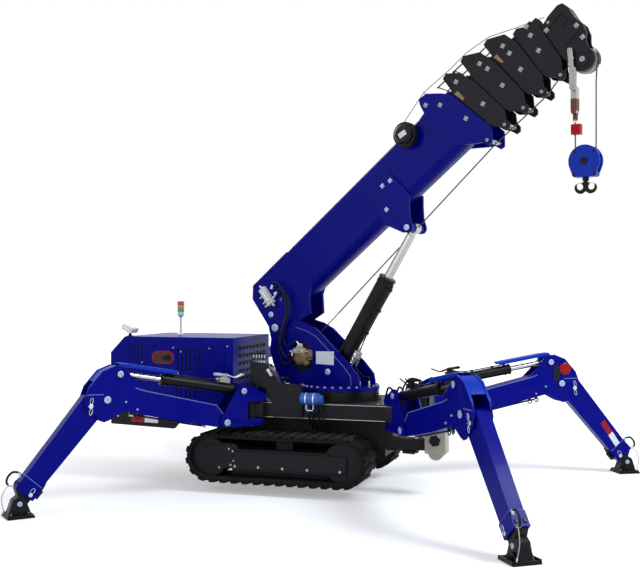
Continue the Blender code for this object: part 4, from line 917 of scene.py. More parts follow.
@dataclass
class Ram:
    """A hydraulic cylinder: turned barrel, gland, eyes and polished rod."""

    barrel_node: str
    rod_node: str
    hinge: str
    slide: str
    length: float
    barrel: float
    radius: float
    rod_radius: float
    eye: float
    eye_half: float
    hidden: float = 0.12

    def build(self) -> Place:
        """Builds the barrel and the rod.

        Returns:
            The frame at the foot pin, along the cylinder.
        """
        hinge, slide = JOINTS[self.hinge], JOINTS[self.slide]
        place = Place.on(hinge["pos_m"], hinge["axis"], slide["axis"])
        r, top, far, thin = self.radius, self.barrel, self.length, self.rod_radius
        eye, half = self.eye, self.eye_half
        body = Shape(place)
        start = eye * 1.3
        body.spin((0, 0, 0), place.along, [
            (r * 0.72, start), (r, start + 0.012), (r, top - 0.062), (r + 0.0035, top - 0.058),
            (r + 0.0035, top - 0.04), (r, top - 0.036), (r, top - 0.022), (r + 0.004, top - 0.018),
            (r + 0.004, top - 0.004), (r * 0.9, top), (thin + 0.0006, top), (thin + 0.0006, start + 0.02)],
            40)
        knuckle = [
            (eye * 0.55, -half), (eye * 0.94, -half), (eye, -half + 0.003), (eye, half - 0.003),
            (eye * 0.94, half), (eye * 0.55, half)]
        body.lathe(0, 0, knuckle, 32)
        body.box((0.0, -eye * 0.8, -half * 0.9), (start + 0.01, eye * 0.8, half * 0.9))
        body.build(f"{self.barrel_node}_turned", Role.BLACK, hinge["child"], replaces=(self.barrel_node,))
        Shape(place).spin((0, 0, 0), place.along, [
            (r + 0.0044, top - 0.017), (r + 0.0048, top - 0.015), (r + 0.0048, top - 0.007),
            (r + 0.0044, top - 0.005)],
            40).build(f"{self.barrel_node}_gland", Role.BLACK, hinge["child"], angle=20.0)
        rod = Shape(place)
        rod.spin((0, 0, 0), place.along, [
            (thin, top - self.hidden), (thin, far - eye - 0.022), (thin * 0.86, far - eye - 0.018),
            (thin * 0.86, far - eye * 0.6)], 32)
        rod.lathe(far, 0, knuckle, 32)
        rod.build(f"{self.rod_node}_turned", Role.CHROME, slide["child"], replaces=(self.rod_node,))
        return place


def ground(x: float = 0.0, y: float = 0.0) -> Place:
    """The level frame on the floor, at a distance from the slew axis along the carrier and across it."""
    return Place.level((SLEW[0] + x, SLEW[1] + y, 0.0))


def slewed() -> Place:
    """The upright frame in the boom's middle plane, from the slew axis on the floor."""
    return Place.on((SLEW[0], SLEW[1], 0.0), JOINTS["luff"]["axis"])


def on_boom() -> Place:
    """The boom's own frame at its pivot."""
    return Place.on(JOINTS["luff"]["pos_m"], JOINTS["luff"]["axis"], JOINTS["section_1_slide"]["axis"])


def taut(
        name: str, a: Vector, b: Vector, radius: float, first: str, second: str,
        role: Role = Role.ROPE) -> None:
    """A straight line between two bodies that slide or turn against each other.

    Args:
        name: the piece's name.
        a: its end on the first body.
        b: its end on the second body.
        radius: half its thickness.
        first: the first body, or the only one.
        second: the second body.
        role: its finish.
    """
    line = Shape(Place.level((0, 0, 0)))
    line.tube([a, b], radius, 8)
    piece = line.build(name, role, "" if first != second else first, angle=60.0)
    if first != second:
        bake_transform(piece)


def hose(
        name: str, points: Sequence[Sequence[float]], radius: float, body: str, other: str = "",
        role: Role = Role.HOSE, crimp: Role = Role.SILVER) -> None:
    """A bent hose with crimped ends, on one body or bending between two.

    Args:
        name: the piece's name.
        points: machine points that its middle line runs through.
        radius: half its thickness.
        body: the body of its first end.
        other: the body of its last end, where that is another one.
        role: its finish.
        crimp: the finish of its end fittings.
    """
    path = spline(points, 7)
    made = Shape(Place.level((0, 0, 0)))
    made.tube(path, radius, 9)
    piece = made.build(name, role, "" if other else body, angle=60.0)
    if other:
        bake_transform(piece)
    for end, inner, owner in ((path[0], path[1], body), (path[-1], path[-2], other or body)):
        way = (inner - end).normalized()
        cap = Shape(Place.level((0, 0, 0)))
        cap.tube([end - way * 0.006, end + way * 0.004], radius * 1.75, 6)
        cap.tube([end + way * 0.005, end + way * 0.03], radius * 1.38, 12)
        cap.build(f"{name}_{'start' if owner is body and end is path[0] else 'end'}_crimp", crimp, owner)


@dataclass
class Boom:
    """Base box, telescopic heads and tip with their bolts, wear strips, guides and rope."""

    guide_b: float = -0.107
    rope: float = 0.0052
    bolt: float = 0.0175

    base_bolts: tuple[Flat, ...] = ((2.343, 0.402), (2.437, 0.165), (2.25, 0.49))
    head_bolts: tuple[tuple[Flat, ...], ...] = (
        ((2.549, 0.453), (2.606, 0.16)), ((2.775, 0.426), (2.797, 0.349), (2.805, 0.163)),
        ((2.99, 0.399), (2.994, 0.317), (2.981, 0.158)), ((3.21, 0.382), (3.192, 0.305), (3.166, 0.171)))
    beaks: tuple[Flat, ...] = (
        (2.464, -0.087), (2.636, -0.087), (2.82, -0.087), (2.995, -0.09), (3.173, -0.092))
    half_base: float = 0.11
    step: float = 0.012

    def square_bolt(
            self, shape: Shape, x: float, y: float, z: float, out: float, turn: float = 20.0) -> None:
        """Adds a square washer with a round bolt head and its socket.

        Args:
            shape: what it is added to.
            x: its place along.
            y: its rise.
            z: the face it stands on.
            out: 1 or -1, the way it looks.
            turn: the washer's turn, in degrees.
        """
        s = self.bolt
        shape.plate(circle(x, y, s * 1.3, 45 + turn, 405 + turn, 4), z - out * 0.001, z + out * 0.004)
        shape.lathe(x, y, [
            (s * 0.66, z), (s * 0.66, z + out * 0.01), (s * 0.55, z + out * 0.012),
            (s * 0.3, z + out * 0.012), (s * 0.28, z + out * 0.007), (0.0005, z + out * 0.007)], 14)

    def heads(self) -> None:
        """Dresses the base and the five boxes, with bolts on both sides."""
        place = on_boom()
        dress("boom_base", Role.BLUE, 0.003)
        rows = [("boom", self.half_base + 0.016, self.base_bolts)]
        for number, bolts in enumerate(self.head_bolts, 1):
            dress(f"boom_section_{number}", Role.HEAD, 0.003)
            rows.append((f"section_{number}", self.half_base - self.step * number + 0.012, bolts))
        for number, (body, face, bolts) in enumerate(rows):
            gear = Shape(place)
            for sign in (-1, 1):
                for x, y in bolts:
                    self.square_bolt(gear, x, y, sign * face, sign)
                gear.pin_head(*self.beaks[number], sign * (face + 0.0015), sign, 0.013)
            gear.build(f"head_bolts_{number}", Role.GREY, body, angle=40.0)
            if number < 4:
                x, y = self.beaks[number]
                Shape(place).lathe(
                    x, -0.086, [(0.0165, -face + 0.022), (0.0165, face - 0.022)],
                    24).build(f"head_roller_{number}", Role.SILVER, body, angle=40.0)

    def strips(self) -> None:
        """Adds bronze wear strips in the mouths of the boxes and thin rods that hold them."""
        place = on_boom()
        for number, (x0, x1, y0, y1) in enumerate(((2.5, 2.522, 0.3, 0.39), (2.905, 2.922, 0.3, 0.385)), 1):
            body = ("section_1", "section_3")[number - 1]
            face = self.half_base - self.step * (1, 3)[number - 1] + 0.012
            for side, sign in (("near", 1), ("far", -1)):
                Shape(place).plate(
                    [(x0, y0), (x1, y0), (x1 - 0.006, y1), (x0 - 0.022, y1)], sign * face,
                    sign * (face + 0.004)).build(f"wear_strip_{number}_{side}", Role.BRONZE, body, 0.001)
        tops = ((2.53, 0.548), (2.71, 0.552), (2.905, 0.516), (3.105, 0.412))
        for number, (x, y) in enumerate(tops, 1):
            half = self.half_base - self.step * number - 0.012
            rods = Shape(place)
            for sign in (-1, 1):
                rods.rod(
                    (x + 0.045, y - 0.012, sign * half), (x - 0.135, y - 0.006, sign * half), 0.0055, 10)
                rods.lathe(x + 0.045, y - 0.012, [
                    (0.012, sign * (half - 0.006)), (0.012, sign * (half + 0.006))], 6)
            rods.rod((x - 0.125, y - 0.006, -half), (x - 0.125, y - 0.006, half), 0.0045, 8)
            rods.build(f"ear_rods_{number}", Role.BLACK, f"section_{number}")

    def base_trim(self) -> None:
        """Adds the foot's pins and bolts, the valve block with its screws, and weld seams of the base."""
        place = on_boom()
        pins = Shape(place)
        for sign in (-1, 1):
            pins.pin_head(0.016, 0.131, sign * self.half_base, sign, 0.026)
            pins.pin_head(1.526, -0.157, sign * (self.half_base + 0.026), sign, 0.024)
            for x, y in ((1.56, 0.255), (1.64, 0.24), (1.47, 0.08)):
                self.square_bolt(pins, x, y, sign * (self.half_base + 0.016), sign, 0)
        pins.build("boom_pins", Role.PIN, "boom", angle=40.0)
        seams = Shape(place)
        for sign in (-1, 1):
            z = sign * (self.half_base + 0.001)
            for points in (
                    ((0.562, 0.1), (0.562, 0.28), (0.482, 0.452)),
                    ((0.345, -0.11), (0.437, 0.022), (0.56, 0.1)),
                    ((1.372, 0.03), (1.4, 0.122), (1.56, 0.302), (1.674, 0.312), (1.702, 0.11)),
                    ((2.16, 0.3), (2.135, 0.438)), ((2.25, 0.062), (2.16, 0.3))):
                seams.tube(place.path(points, z), 0.0035, 6)
        seams.build("boom_seams", Role.BLUE, "boom", angle=60.0)
        block = Shape(place.moved(0.091, 0.277, 0.0, -90.0))
        z = self.half_base
        block.box((-0.085, -0.034, z), (0.085, 0.034, z + 0.04))
        block.box((-0.06, -0.022, z + 0.039), (0.06, 0.022, z + 0.046))
        for x, y, size in (
                (-0.03, -0.034, 0.01), (0.028, -0.034, 0.011), (0.064, -0.034, 0.012),
                (0.05, 0.034, 0.011)):
            out = math.copysign(0.03, y)
            block.rod((x, y, z + 0.02), (x, y + out * 0.6, z + 0.02), size, 6)
            block.rod((x, y + out * 0.6, z + 0.02), (x, y + out * 1.3, z + 0.02), size * 0.75, 10)
        block.rod((0.05, 0.07, z + 0.02), (0.022, 0.086, z + 0.02), 0.0085, 10)
        block.rod((0.085, 0.01, z + 0.022), (0.115, 0.01, z + 0.022), 0.01, 12)
        block.rod((-0.085, 0.0, z + 0.022), (-0.118, -0.006, z + 0.022), 0.0105, 6)
        block.build("boom_valve_block", Role.PALE, "boom", 0.002)
        nuts = Shape(place.moved(0.091, 0.277, 0.0, -90.0))
        for i in range(3):
            nuts.hex_bolt((-0.03 + 0.03 * i, 0.0, z + 0.04), 1.0, 0.01, 0.009)
        nuts.build("boom_valve_screws", Role.SILVER, "boom")

    def tip(self) -> None:
        """Dresses the tip with its lid, ribs, sheave pin and rope keeper."""
        place = on_boom()
        dress("boom_tip", Role.HEAD, 0.004)
        half = self.half_base - self.step * 5 + 0.01
        Shape(place).plate([
            (3.3, 0.3), (3.368, 0.323), (3.47, 0.334), (3.506, 0.319), (3.518, 0.27), (3.508, 0.16),
            (3.47, 0.15), (3.455, 0.262), (3.38, 0.262), (3.33, 0.24)], -half - 0.006,
            half + 0.006).build("tip_lid", Role.BLACK, "tip", 0.004)
        ribs = Shape(place)
        for sign in (-1, 1):
            z0, z1 = sorted((sign * half, sign * (half + 0.007)))
            ribs.plate([(3.392, 0.18), (3.455, 0.19), (3.45, 0.25), (3.385, 0.248)], z0, z1)
            ribs.lathe(*TIP_SHEAVE, [
                (0.052, sign * half), (0.052, sign * (half + 0.006)), (0.04, sign * (half + 0.008))], 28)
            ribs.plate([(3.33, 0.05), (3.48, 0.066), (3.482, 0.078), (3.33, 0.062)], z0, z1)
        ribs.build("tip_ribs", Role.HEAD, "tip", 0.002)
        pins = Shape(place)
        for sign in (-1, 1):
            pins.pin_head(*TIP_SHEAVE, sign * (half + 0.008), sign, 0.02)
            pins.pin_head(3.311, -0.055, sign * (half + 0.006), sign, 0.012)
            for x, y in ((3.3, 0.25), (3.345, 0.285), (3.48, 0.11), (3.46, 0.01)):
                self.square_bolt(pins, x, y, sign * half, sign, 0)
        pins.build("tip_bolts", Role.GREY, "tip", angle=40.0)
        keeper = Shape(place)
        keeper.plate(
            circle(*TIP_SHEAVE, 0.1085, -58, 66, 18) + circle(*TIP_SHEAVE, 0.1045, 66, -58, 18), -0.026,
            0.026)
        for sign in (-1, 1):
            keeper.plate(
                circle(*TIP_SHEAVE, 0.1085, 48, 66, 5) + circle(*TIP_SHEAVE, 0.066, 66, 48, 5),
                sign * 0.0255, sign * 0.03)
        keeper.build("tip_rope_guard", Role.BLACK, "tip", angle=40.0)
        Shape(place).lathe(*TIP_SHEAVE, [
            (0.026, -0.018), (0.03, -0.0195), (0.03, -0.014), (0.064, -0.01), (0.066, -0.018),
            (0.095, -0.018), (0.096, -0.015), (0.0825, -0.003), (0.0822, 0.003), (0.096, 0.015),
            (0.095, 0.018), (0.066, 0.018), (0.064, 0.01), (0.03, 0.014), (0.03, 0.0195), (0.026, 0.018)],
            56).build("tip_sheave_turned", Role.CREAM, "sheave", replaces=("tip_sheave",))

    def reel(self) -> None:
        """Turns the cable reel, with a blank label on its cap."""
        place = on_boom().moved(1.985, 0.415)
        drum = Shape(place)
        drum.lathe(0, 0, [
            (0.046, 0.1326), (0.046, 0.1365), (0.096, 0.1365), (0.1, 0.14), (0.1, 0.1455), (0.096, 0.1465),
            (0.072, 0.152), (0.072, 0.172), (0.096, 0.178), (0.1, 0.179), (0.1, 0.184), (0.097, 0.186),
            (0.078, 0.186), (0.078, 0.205), (0.062, 0.221), (0.0005, 0.2218)], 48)
        for x, y in circle(0, 0, 0.088, 15, 375, 6):
            drum.lathe(x, y, [(0.006, 0.185), (0.006, 0.19)], 6)
        drum.build("hose_reel_turned", Role.BLACK, "reel", replaces=("hose_reel",))
        Shape(place).plate(
            [(-0.036, -0.02), (0.032, -0.03), (0.038, 0.012), (-0.03, 0.022)], 0.2218,
            0.2226).build("reel_label", Role.WHITE, "reel", 0.0005)
        cable = Shape(place)
        for z in (0.156, 0.162, 0.168):
            ring = [polar(0, 0, 0.0745, 12 * k) for k in range(31)]
            cable.tube(place.path(ring, z), 0.0028, 6)
        cable.build("reel_cable_turns", Role.HOSE, "reel")
        Shape(place).plate(
            [(-0.07, -0.06), (0.06, -0.06), (0.048, 0.03), (-0.058, 0.03)], 0.11,
            0.1165).build("reel_mount", Role.BLUE, "boom", 0.002)

    def ropes(self) -> None:
        """Runs the hoist rope from the drum to the sheave and the cable from the reel."""
        place, upright = on_boom(), slewed()
        drum = upright.at(*polar(-0.3, 1.08, 0.08, 137.0))
        bodies = ("boom", "section_1", "section_2", "section_3", "section_4", "tip")
        stops = [place.at(x, self.guide_b, 0.0) for x in (2.464, 2.636, 2.82, 2.995)]
        end = place.at(*polar(*TIP_SHEAVE, ROPE_CIRCLE, ROPE_ON))
        stops += [stops[-1].lerp(end, 0.54), end]
        taut("hoist_rope_base", drum, stops[0], self.rope, "turret", "boom")
        for number, (a, b) in enumerate(zip(stops, stops[1:])):
            taut(f"hoist_rope_{number + 1}", a, b, self.rope, bodies[number], bodies[number + 1])
        Shape(place).tube(
            place.path(circle(*TIP_SHEAVE, ROPE_CIRCLE, ROPE_ON, ROPE_OFF, 17)), self.rope,
            8).build("hoist_rope_wrap", Role.ROPE, "tip", angle=60.0)
        cable = [place.at(x, y, z) for x, y, z in (
            (1.985, 0.49, 0.162), (2.3, 0.585, 0.118), (2.545, 0.58, 0.086), (2.745, 0.584, 0.074),
            (2.95, 0.548, 0.062), (3.15, 0.442, 0.05), (3.345, 0.352, 0.03))]
        taut("reel_cable_base", cable[0], cable[1], 0.0028, "boom", "boom", Role.HOSE)
        for number, (a, b) in enumerate(zip(cable[1:], cable[2:])):
            taut(f"reel_cable_{number + 1}", a, b, 0.0028, bodies[number], bodies[number + 1], Role.HOSE)
        Shape(place).rod((2.3, 0.545, 0.118), (2.3, 0.59, 0.118), 0.005, 8).build(
            "reel_cable_eye_base", Role.STEEL, "boom")

    def build(self) -> None:
        """Builds the whole boom."""
        self.heads()
        self.strips()
        self.base_trim()
        self.tip()
        self.reel()
        self.ropes()


@dataclass
class HangingGear:
    """Load link with its socket, limit weight, hook block and hook."""

    spread: float = 0.155
    drop: float = 0.7501
    link_drop: float = 0.4
    strap: float = 0.0895

    def build(self) -> None:
        """Builds what hangs from the tip."""
        place = Place.on(JOINTS["hanging_gear_swing"]["pos_m"], JOINTS["luff"]["axis"])
        link = Shape(place)
        link.plate(circle(0, 0, 0.02, 160, 20, 9) + [(0.018, -0.225), (-0.018, -0.225)], 0.0235, 0.0415)
        link.plate([
            (-0.017, -0.2), (0.017, -0.2), (0.022, -0.225), (0.022, -0.385), (0.016, -self.link_drop),
            (-0.016, -self.link_drop), (-0.022, -0.385), (-0.022, -0.225)], -0.02, 0.0395)
        link.build("load_link_cast", Role.GREY, "hanging_gear", 0.002, replaces=("load_link",))
        strap = Shape(place)
        strap.plate([
            (-0.028, 0.058), (-0.022, 0.07), (0.0, 0.07), (0.008, 0.06), (0.02, -0.07), (0.036, -0.08),
            (0.038, -0.228), (0.03, -0.236), (-0.004, -0.236), (-0.012, -0.228), (-0.014, -0.08)],
            self.strap, self.strap + 0.008)
        strap.plate(
            [(-0.012, 0.04), (0.0, 0.04), (0.026, -0.21), (0.012, -0.21)], self.strap + 0.0075,
            self.strap + 0.0105)
        strap.box((-0.01, -0.232, 0.036), (0.02, -0.208, self.strap + 0.001))
        for x, y in ((-0.012, 0.052), (0.016, -0.092), (0.012, -0.218)):
            strap.hex_bolt((x, y, self.strap + 0.008), 1.0, 0.007)
        strap.build("load_link_strap", Role.GREY, "hanging_gear", 0.001)
        brown = Shape(place)
        brown.plate([
            (-0.0232, -0.29), (0.0232, -0.29), (0.0232, -0.372), (0.0165, -0.4012), (-0.0165, -0.4012),
            (-0.0232, -0.372)], -0.0212, 0.0408)
        brown.plate([
            (-0.014, -0.4), (0.014, -0.4), (0.016, -0.415), (0.016, -0.44), (0.01, -0.448), (-0.01, -0.448),
            (-0.016, -0.44), (-0.016, -0.415)], -0.013, 0.013)
        brown.build("link_swivel", Role.COPPER, "hanging_gear", 0.002)
        shackle = Shape(place)
        bow = [
            (0.012 * math.cos(t), -0.45 + 0.016 * math.sin(t))
            for t in map(math.radians, range(-200, 21, 20))]
        shackle.tube(place.path(bow, 0.016), 0.0032, 7)
        shackle.rod((-0.013, -0.446, 0.016), (0.013, -0.446, 0.016), 0.0042, 8)
        shackle.build("link_shackle", Role.STEEL, "hanging_gear")
        weight = Shape(place)
        weight.box((-0.026, -0.475, -0.028), (0.044, -0.55, 0.028))
        weight.lathe(0.032, -0.486, [(0.007, 0.028), (0.007, 0.033)], 6)
        weight.lathe(0.032, -0.538, [(0.007, 0.028), (0.007, 0.033)], 6)
        weight.build("limit_weight_block", Role.RED, "hanging_gear", 0.006, replaces=("limit_weight",))
        block = place.moved(self.spread / 2, -self.drop)
        cheeks = Shape(block)
        outline = [(-0.1, -0.07), (-0.08, -0.116), (0.08, -0.116), (0.1, -0.07)] + circle(
            0, 0, 0.118, -20, 200, 26)
        for low, high in ((-0.042, -0.026), (0.026, 0.042)):
            cheeks.plate(outline, low, high)
        cheeks.plate([(-0.08, -0.116), (0.08, -0.116), (0.094, -0.082), (-0.094, -0.082)], -0.0255, 0.0255)
        cheeks.plate(circle(0, 0, 0.112, 25, 155, 16) + circle(0, 0, 0.102, 155, 25, 16), -0.0255, 0.0255)
        # The cheeks take the lighter blue: painted highlight on the blue paint.
        cheeks.build("hook_block_cheeks", Role.HIGHLIGHT_BLUE, "hanging_gear", 0.003, replaces=("hook_block",))
        Shape(block).lathe(0, 0, [
            (0.02, -0.022), (0.096, -0.022), (0.098, -0.018), (0.079, -0.004), (0.079, 0.004),
            (0.098, 0.018), (0.096, 0.022), (0.02, 0.022)],
            44).build("hook_block_sheave", Role.CREAM, "hanging_gear")
        bolts = Shape(block)
        for sign in (-1, 1):
            bolts.pin_head(0, 0, sign * 0.042, sign, 0.026)
            for x, y in ((-0.078, -0.098), (0.078, -0.098), (-0.072, 0.07), (0.072, 0.07)):
                bolts.hex_bolt((x, y, sign * 0.042), sign, 0.009)
        bolts.build("hook_block_bolts", Role.BLACK, "hanging_gear")
        falls = Shape(place)
        falls.rod((0, -0.4622, 0), (0, -self.drop + 0.055, 0), 0.005, 8)
        falls.rod((self.spread, -0.185, 0), (self.spread, -self.drop + 0.055, 0), 0.005, 8)
        falls.build("falls", Role.ROPE, "hanging_gear")
        boom = on_boom()
        top = boom.at(*polar(*TIP_SHEAVE, ROPE_CIRCLE, ROPE_OFF))
        taut("fall_from_sheave", top, place.at(self.spread, -0.186, 0.0), 0.0052, "tip", "hanging_gear")
        self.hook(block.moved(0.0, -0.1165))

    def hook(self, place: Place) -> None:
        """Forges the two-pronged hook.

        Args:
            place: the frame at the foot of the hook block.
        """
        hook = Shape(place)
        hook.spin((0, 0, 0), -place.rise, [
            (0.02, 0.0), (0.024, 0.003), (0.024, 0.024), (0.016, 0.029), (0.014, 0.046), (0.018, 0.06)], 24)
        for sign in (-1, 1):
            turn = [60, 38, 12, -15, -42, -70, -98, -125, -152, -178, -200, -216]
            path, sizes = [], []
            for k, t in enumerate(turn):
                a = math.radians(180 - t if sign > 0 else t)
                path.append(Vector((sign * 0.04 + 0.035 * math.cos(a), -0.072 + 0.035 * math.sin(a), 0)))
                sizes.append((
                    0.012, 0.013, 0.014, 0.015, 0.0155, 0.0155, 0.0145, 0.013, 0.0115, 0.01, 0.0075,
                    0.004)[k])
            rings = []
            for k, p in enumerate(path):
                ahead = (path[min(k + 1, len(path) - 1)] - path[max(k - 1, 0)]).normalized()
                out = Vector((-ahead.y, ahead.x, 0))
                rings.append([place.at(
                    p.x + out.x * sizes[k] * math.cos(u), p.y + out.y * sizes[k] * math.cos(u),
                    min(0.013, sizes[k]) * math.sin(u)) for u in (2 * math.pi * i / 14 for i in range(14))])
            hook.loft(rings)
        hook.build("hook_forged", Role.BLACK, "hook", angle=50.0, replaces=("hook",))
        latch = Shape(place)
        for sign in (-1, 1):
            latch.plate([
                (sign * 0.012, -0.04), (sign * 0.07, -0.052), (sign * 0.072, -0.047),
                (sign * 0.014, -0.034)], -0.005, 0.005)
        latch.build("hook_latches", Role.STEEL, "hook", 0.001)


@dataclass
class Upper:
    """Turret with its winch, luff cylinder, hoses and pins, in the slewed frame."""

    pivot: Flat = (-0.57, 1.322)
    foot: Flat = (-0.023, 0.965)
    drum: Flat = (-0.3, 1.08)
    outer: float = 0.136
    porthole: float = 0.125
    disc_top: float = 0.8459
    bolt_circle: float = 0.321

    def shell(self) -> None:
        """Dresses the side plates with pins, label, porthole rim, a painted edge highlight line and flange
        bolts.
        """
        place = slewed()
        dress("turret", Role.BLUE, 0.003)
        dress("slew_ring", Role.BLACK, 0.003)
        pins = Shape(place)
        for sign in (-1, 1):
            pins.pin_head(*self.pivot, sign * (self.outer + 0.01), sign, 0.034)
            pins.pin_head(*self.foot, sign * (self.outer + 0.01), sign, 0.026)
        pins.build("turret_pins", Role.PIN, "turret", angle=40.0)
        rim = Shape(place)
        z = self.outer
        rim.hoop(*self.drum, [
            (self.porthole + 0.0005, z - 0.001), (self.porthole + 0.0005, z + 0.003),
            (self.porthole + 0.01, z + 0.003), (self.porthole + 0.011, z - 0.001)], 48)
        rim.build("porthole_rim", Role.BLUE, "turret", angle=50.0)
        # A pale blue line along the side plate's edge: painted highlight where the edge catches the light.
        Shape(place).tube(place.path((
            (0.2, 0.86), (0.196, 0.93), (0.13, 1.01), (0.0, 1.125), (-0.15, 1.255), (-0.24, 1.3),
            (-0.36, 1.33)), z + 0.0005), 0.0024, 6).build("turret_edge_highlights", Role.EDGE_HIGHLIGHT, "turret", angle=50.0)
        label = Shape(place)
        label.plate([(-0.15, 1.026), (0.028, 1.022), (0.031, 1.136), (-0.15, 1.132)], z + 0.0002, z + 0.002)
        for x0, y0, x1, y1 in (
                (-0.146, 1.03, 0.024, 1.034), (-0.146, 1.124, 0.026, 1.128), (-0.146, 1.034, -0.142, 1.124),
                (0.022, 1.034, 0.026, 1.124)):
            label.box((x0, y0, z + 0.0019), (x1, y1, z + 0.0026))
        label.build("turret_label", Role.WHITE, "turret", 0.0004)
        lamp = Shape(place)
        for size, low, high in ((1.0, 0.112, 0.128), (0.86, 0.127, 0.131), (0.6, 0.13, 0.133)):
            lamp.plate([
                (-0.648 + 0.027 * size * math.cos(a), 1.112 + 0.05 * size * math.sin(a))
                for a in map(math.radians, range(0, 360, 20))], low, high)
        lamp.build("side_lamp", Role.LENS, "turret", 0.002)
        deck = Shape(Place.upright((*place.origin.xy, self.disc_top)))
        for x, y in circle(0, 0, self.bolt_circle, count=30):
            across = abs(Vector((x, y, 0)).dot(place.side))
            if across < 0.098 or across > 0.156:
                deck.hex_bolt((x, y, 0.0), 1.0, 0.0095, 0.012)
        deck.build("slew_flange_bolts", Role.GREY, "turret")
        ring = Shape(Place.upright((*place.origin.xy, 0.0)))
        ring.hoop(0, 0, [(0.3352, 0.772), (0.3375, 0.7728), (0.3375, 0.7782), (0.3352, 0.779)], 72)
        ring.hoop(0, 0, [(0.3352, 0.73), (0.352, 0.73), (0.352, 0.742), (0.3352, 0.744)], 72)
        for x, y in circle(0, 0, 0.344, 6, 366, 24):
            ring.hex_bolt((x, y, 0.7415), 1.0, 0.006, 0.008)
        ring.build("slew_ring_rims", Role.BLACK, "carrier")

    def winch(self) -> None:
        """Builds the drum with its laid rope and the motor in the cut-out."""
        place = slewed().moved(*self.drum)
        drum = Shape(place)
        drum.lathe(0, 0, [
            (0.02, -0.085), (0.104, -0.085), (0.105, -0.083), (0.105, -0.078), (0.102, -0.076),
            (0.075, -0.0745), (0.075, 0.0745), (0.102, 0.076), (0.105, 0.078), (0.105, 0.083),
            (0.104, 0.085), (0.02, 0.085)], 48)
        for x, y in circle(0, 0, 0.09, count=5):
            drum.lathe(x, y, [(0.007, -0.0845), (0.007, 0.0845)], 8)
        drum.build("winch_drum_turned", Role.STEEL, "drum", replaces=("winch_drum",))
        rope = Shape(place)
        turns, lift, pitch = 13, 0.0795, 0.0112
        rope.tube([place.at(
            lift * math.cos(math.pi * k / 14), lift * math.sin(math.pi * k / 14), -0.069 + pitch * k / 28)
            for k in range(28 * turns - 18)], 0.005, 6)
        rope.build("winch_rope_turns", Role.ROPE, "drum", angle=60.0)
        seat = Shape(place)
        seat.lathe(0, 0, [
            (0.06, 0.0985), (0.134, 0.0985), (0.134, 0.113), (0.13, 0.115), (0.114, 0.1155), (0.11, 0.12),
            (0.09, 0.12), (0.086, 0.126), (0.072, 0.126), (0.07, 0.13)], 40)
        for x, y in circle(0, 0, 0.122, 9, 369, 10):
            seat.hex_bolt((x, y, 0.115), 1.0, 0.0065, 0.008)
        seat.build("winch_motor_seat", Role.DARK, "turret", replaces=("winch_motor",))
        body = Shape(place)
        body.lathe(0, -0.006, [
            (0.068, 0.124), (0.068, 0.132), (0.062, 0.134), (0.062, 0.14), (0.066, 0.142), (0.066, 0.152),
            (0.06, 0.156), (0.06, 0.164), (0.052, 0.17), (0.03, 0.1715), (0.028, 0.168)], 36)
        body.plate([(0.052, -0.03), (0.112, -0.02), (0.112, 0.06), (0.06, 0.066)], 0.116, 0.14)
        body.lathe(0.088, 0.02, [(0.03, 0.12), (0.03, 0.15), (0.024, 0.154), (0.01, 0.154)], 20)
        body.lathe(0.06, -0.05, [
            (0.026, 0.12), (0.026, 0.158), (0.021, 0.162), (0.021, 0.168), (0.012, 0.17)], 6)
        for x, y in circle(0, -0.006, 0.05, 20, 380, 6):
            body.hex_bolt((x, y, 0.1655), 1.0, 0.007, 0.008)
        body.build("winch_motor_body", Role.BRONZE, "turret", 0.001)
        top = Shape(place)
        top.box((-0.06, 0.032, 0.121), (0.045, 0.075, 0.172))
        top.box((-0.034, 0.074, 0.128), (0.018, 0.096, 0.166))
        top.plate([(-0.062, 0.03), (-0.074, 0.036), (-0.074, 0.058), (-0.062, 0.064)], 0.134, 0.16)
        top.plate([(0.044, 0.036), (0.06, 0.04), (0.06, 0.056), (0.044, 0.062)], 0.134, 0.16)
        top.build("winch_motor_valve", Role.BEIGE, "turret", 0.003)
        ends = Shape(place)
        for x in (-0.022, 0.006):
            ends.rod((x, 0.094, 0.147), (x, 0.112, 0.147), 0.0105, 6)
        ends.rod((-0.072, 0.047, 0.147), (-0.094, 0.047, 0.147), 0.01, 6)
        ends.rod((0.058, 0.047, 0.147), (0.082, 0.047, 0.147), 0.009, 6)
        ends.hex_bolt((-0.045, 0.053, 0.172), 1.0, 0.007, 0.005)
        ends.hex_bolt((0.03, 0.053, 0.172), 1.0, 0.007, 0.005)
        ends.build("winch_motor_fittings", Role.SILVER, "turret")

    def hoses(self) -> None:
        """Loops the black hoses from the boom foot's valve down to the winch."""
        place = slewed()
        lines = (
            ((-0.604, 1.668, 0.15), (-0.588, 1.7, 0.156), (-0.545, 1.716, 0.16), (-0.48, 1.65, 0.166),
            (-0.434, 1.527, 0.17), (-0.448, 1.39, 0.17), (-0.5, 1.272, 0.166), (-0.518, 1.13, 0.162),
            (-0.47, 1.015, 0.158), (-0.396, 1.04, 0.15), (-0.386, 1.118, 0.147)),
            ((-0.56, 1.61, 0.152), (-0.52, 1.66, 0.158), (-0.452, 1.63, 0.17), (-0.4, 1.545, 0.182),
            (-0.414, 1.43, 0.186), (-0.474, 1.296, 0.184), (-0.492, 1.16, 0.176), (-0.44, 1.075, 0.16),
            (-0.4, 1.122, 0.148), (-0.38, 1.128, 0.147)),
            ((-0.53, 1.56, 0.118), (-0.5, 1.6, 0.15), (-0.45, 1.56, 0.16), (-0.428, 1.47, 0.166),
            (-0.448, 1.34, 0.168), (-0.468, 1.22, 0.166), (-0.43, 1.17, 0.158), (-0.35, 1.215, 0.15),
            (-0.322, 1.188, 0.147)),)
        for number, line in enumerate(lines, 1):
            hose(
                f"boom_hose_{number}", place.path(line), (0.0085, 0.0075, 0.006)[number - 1], "boom",
                "turret")

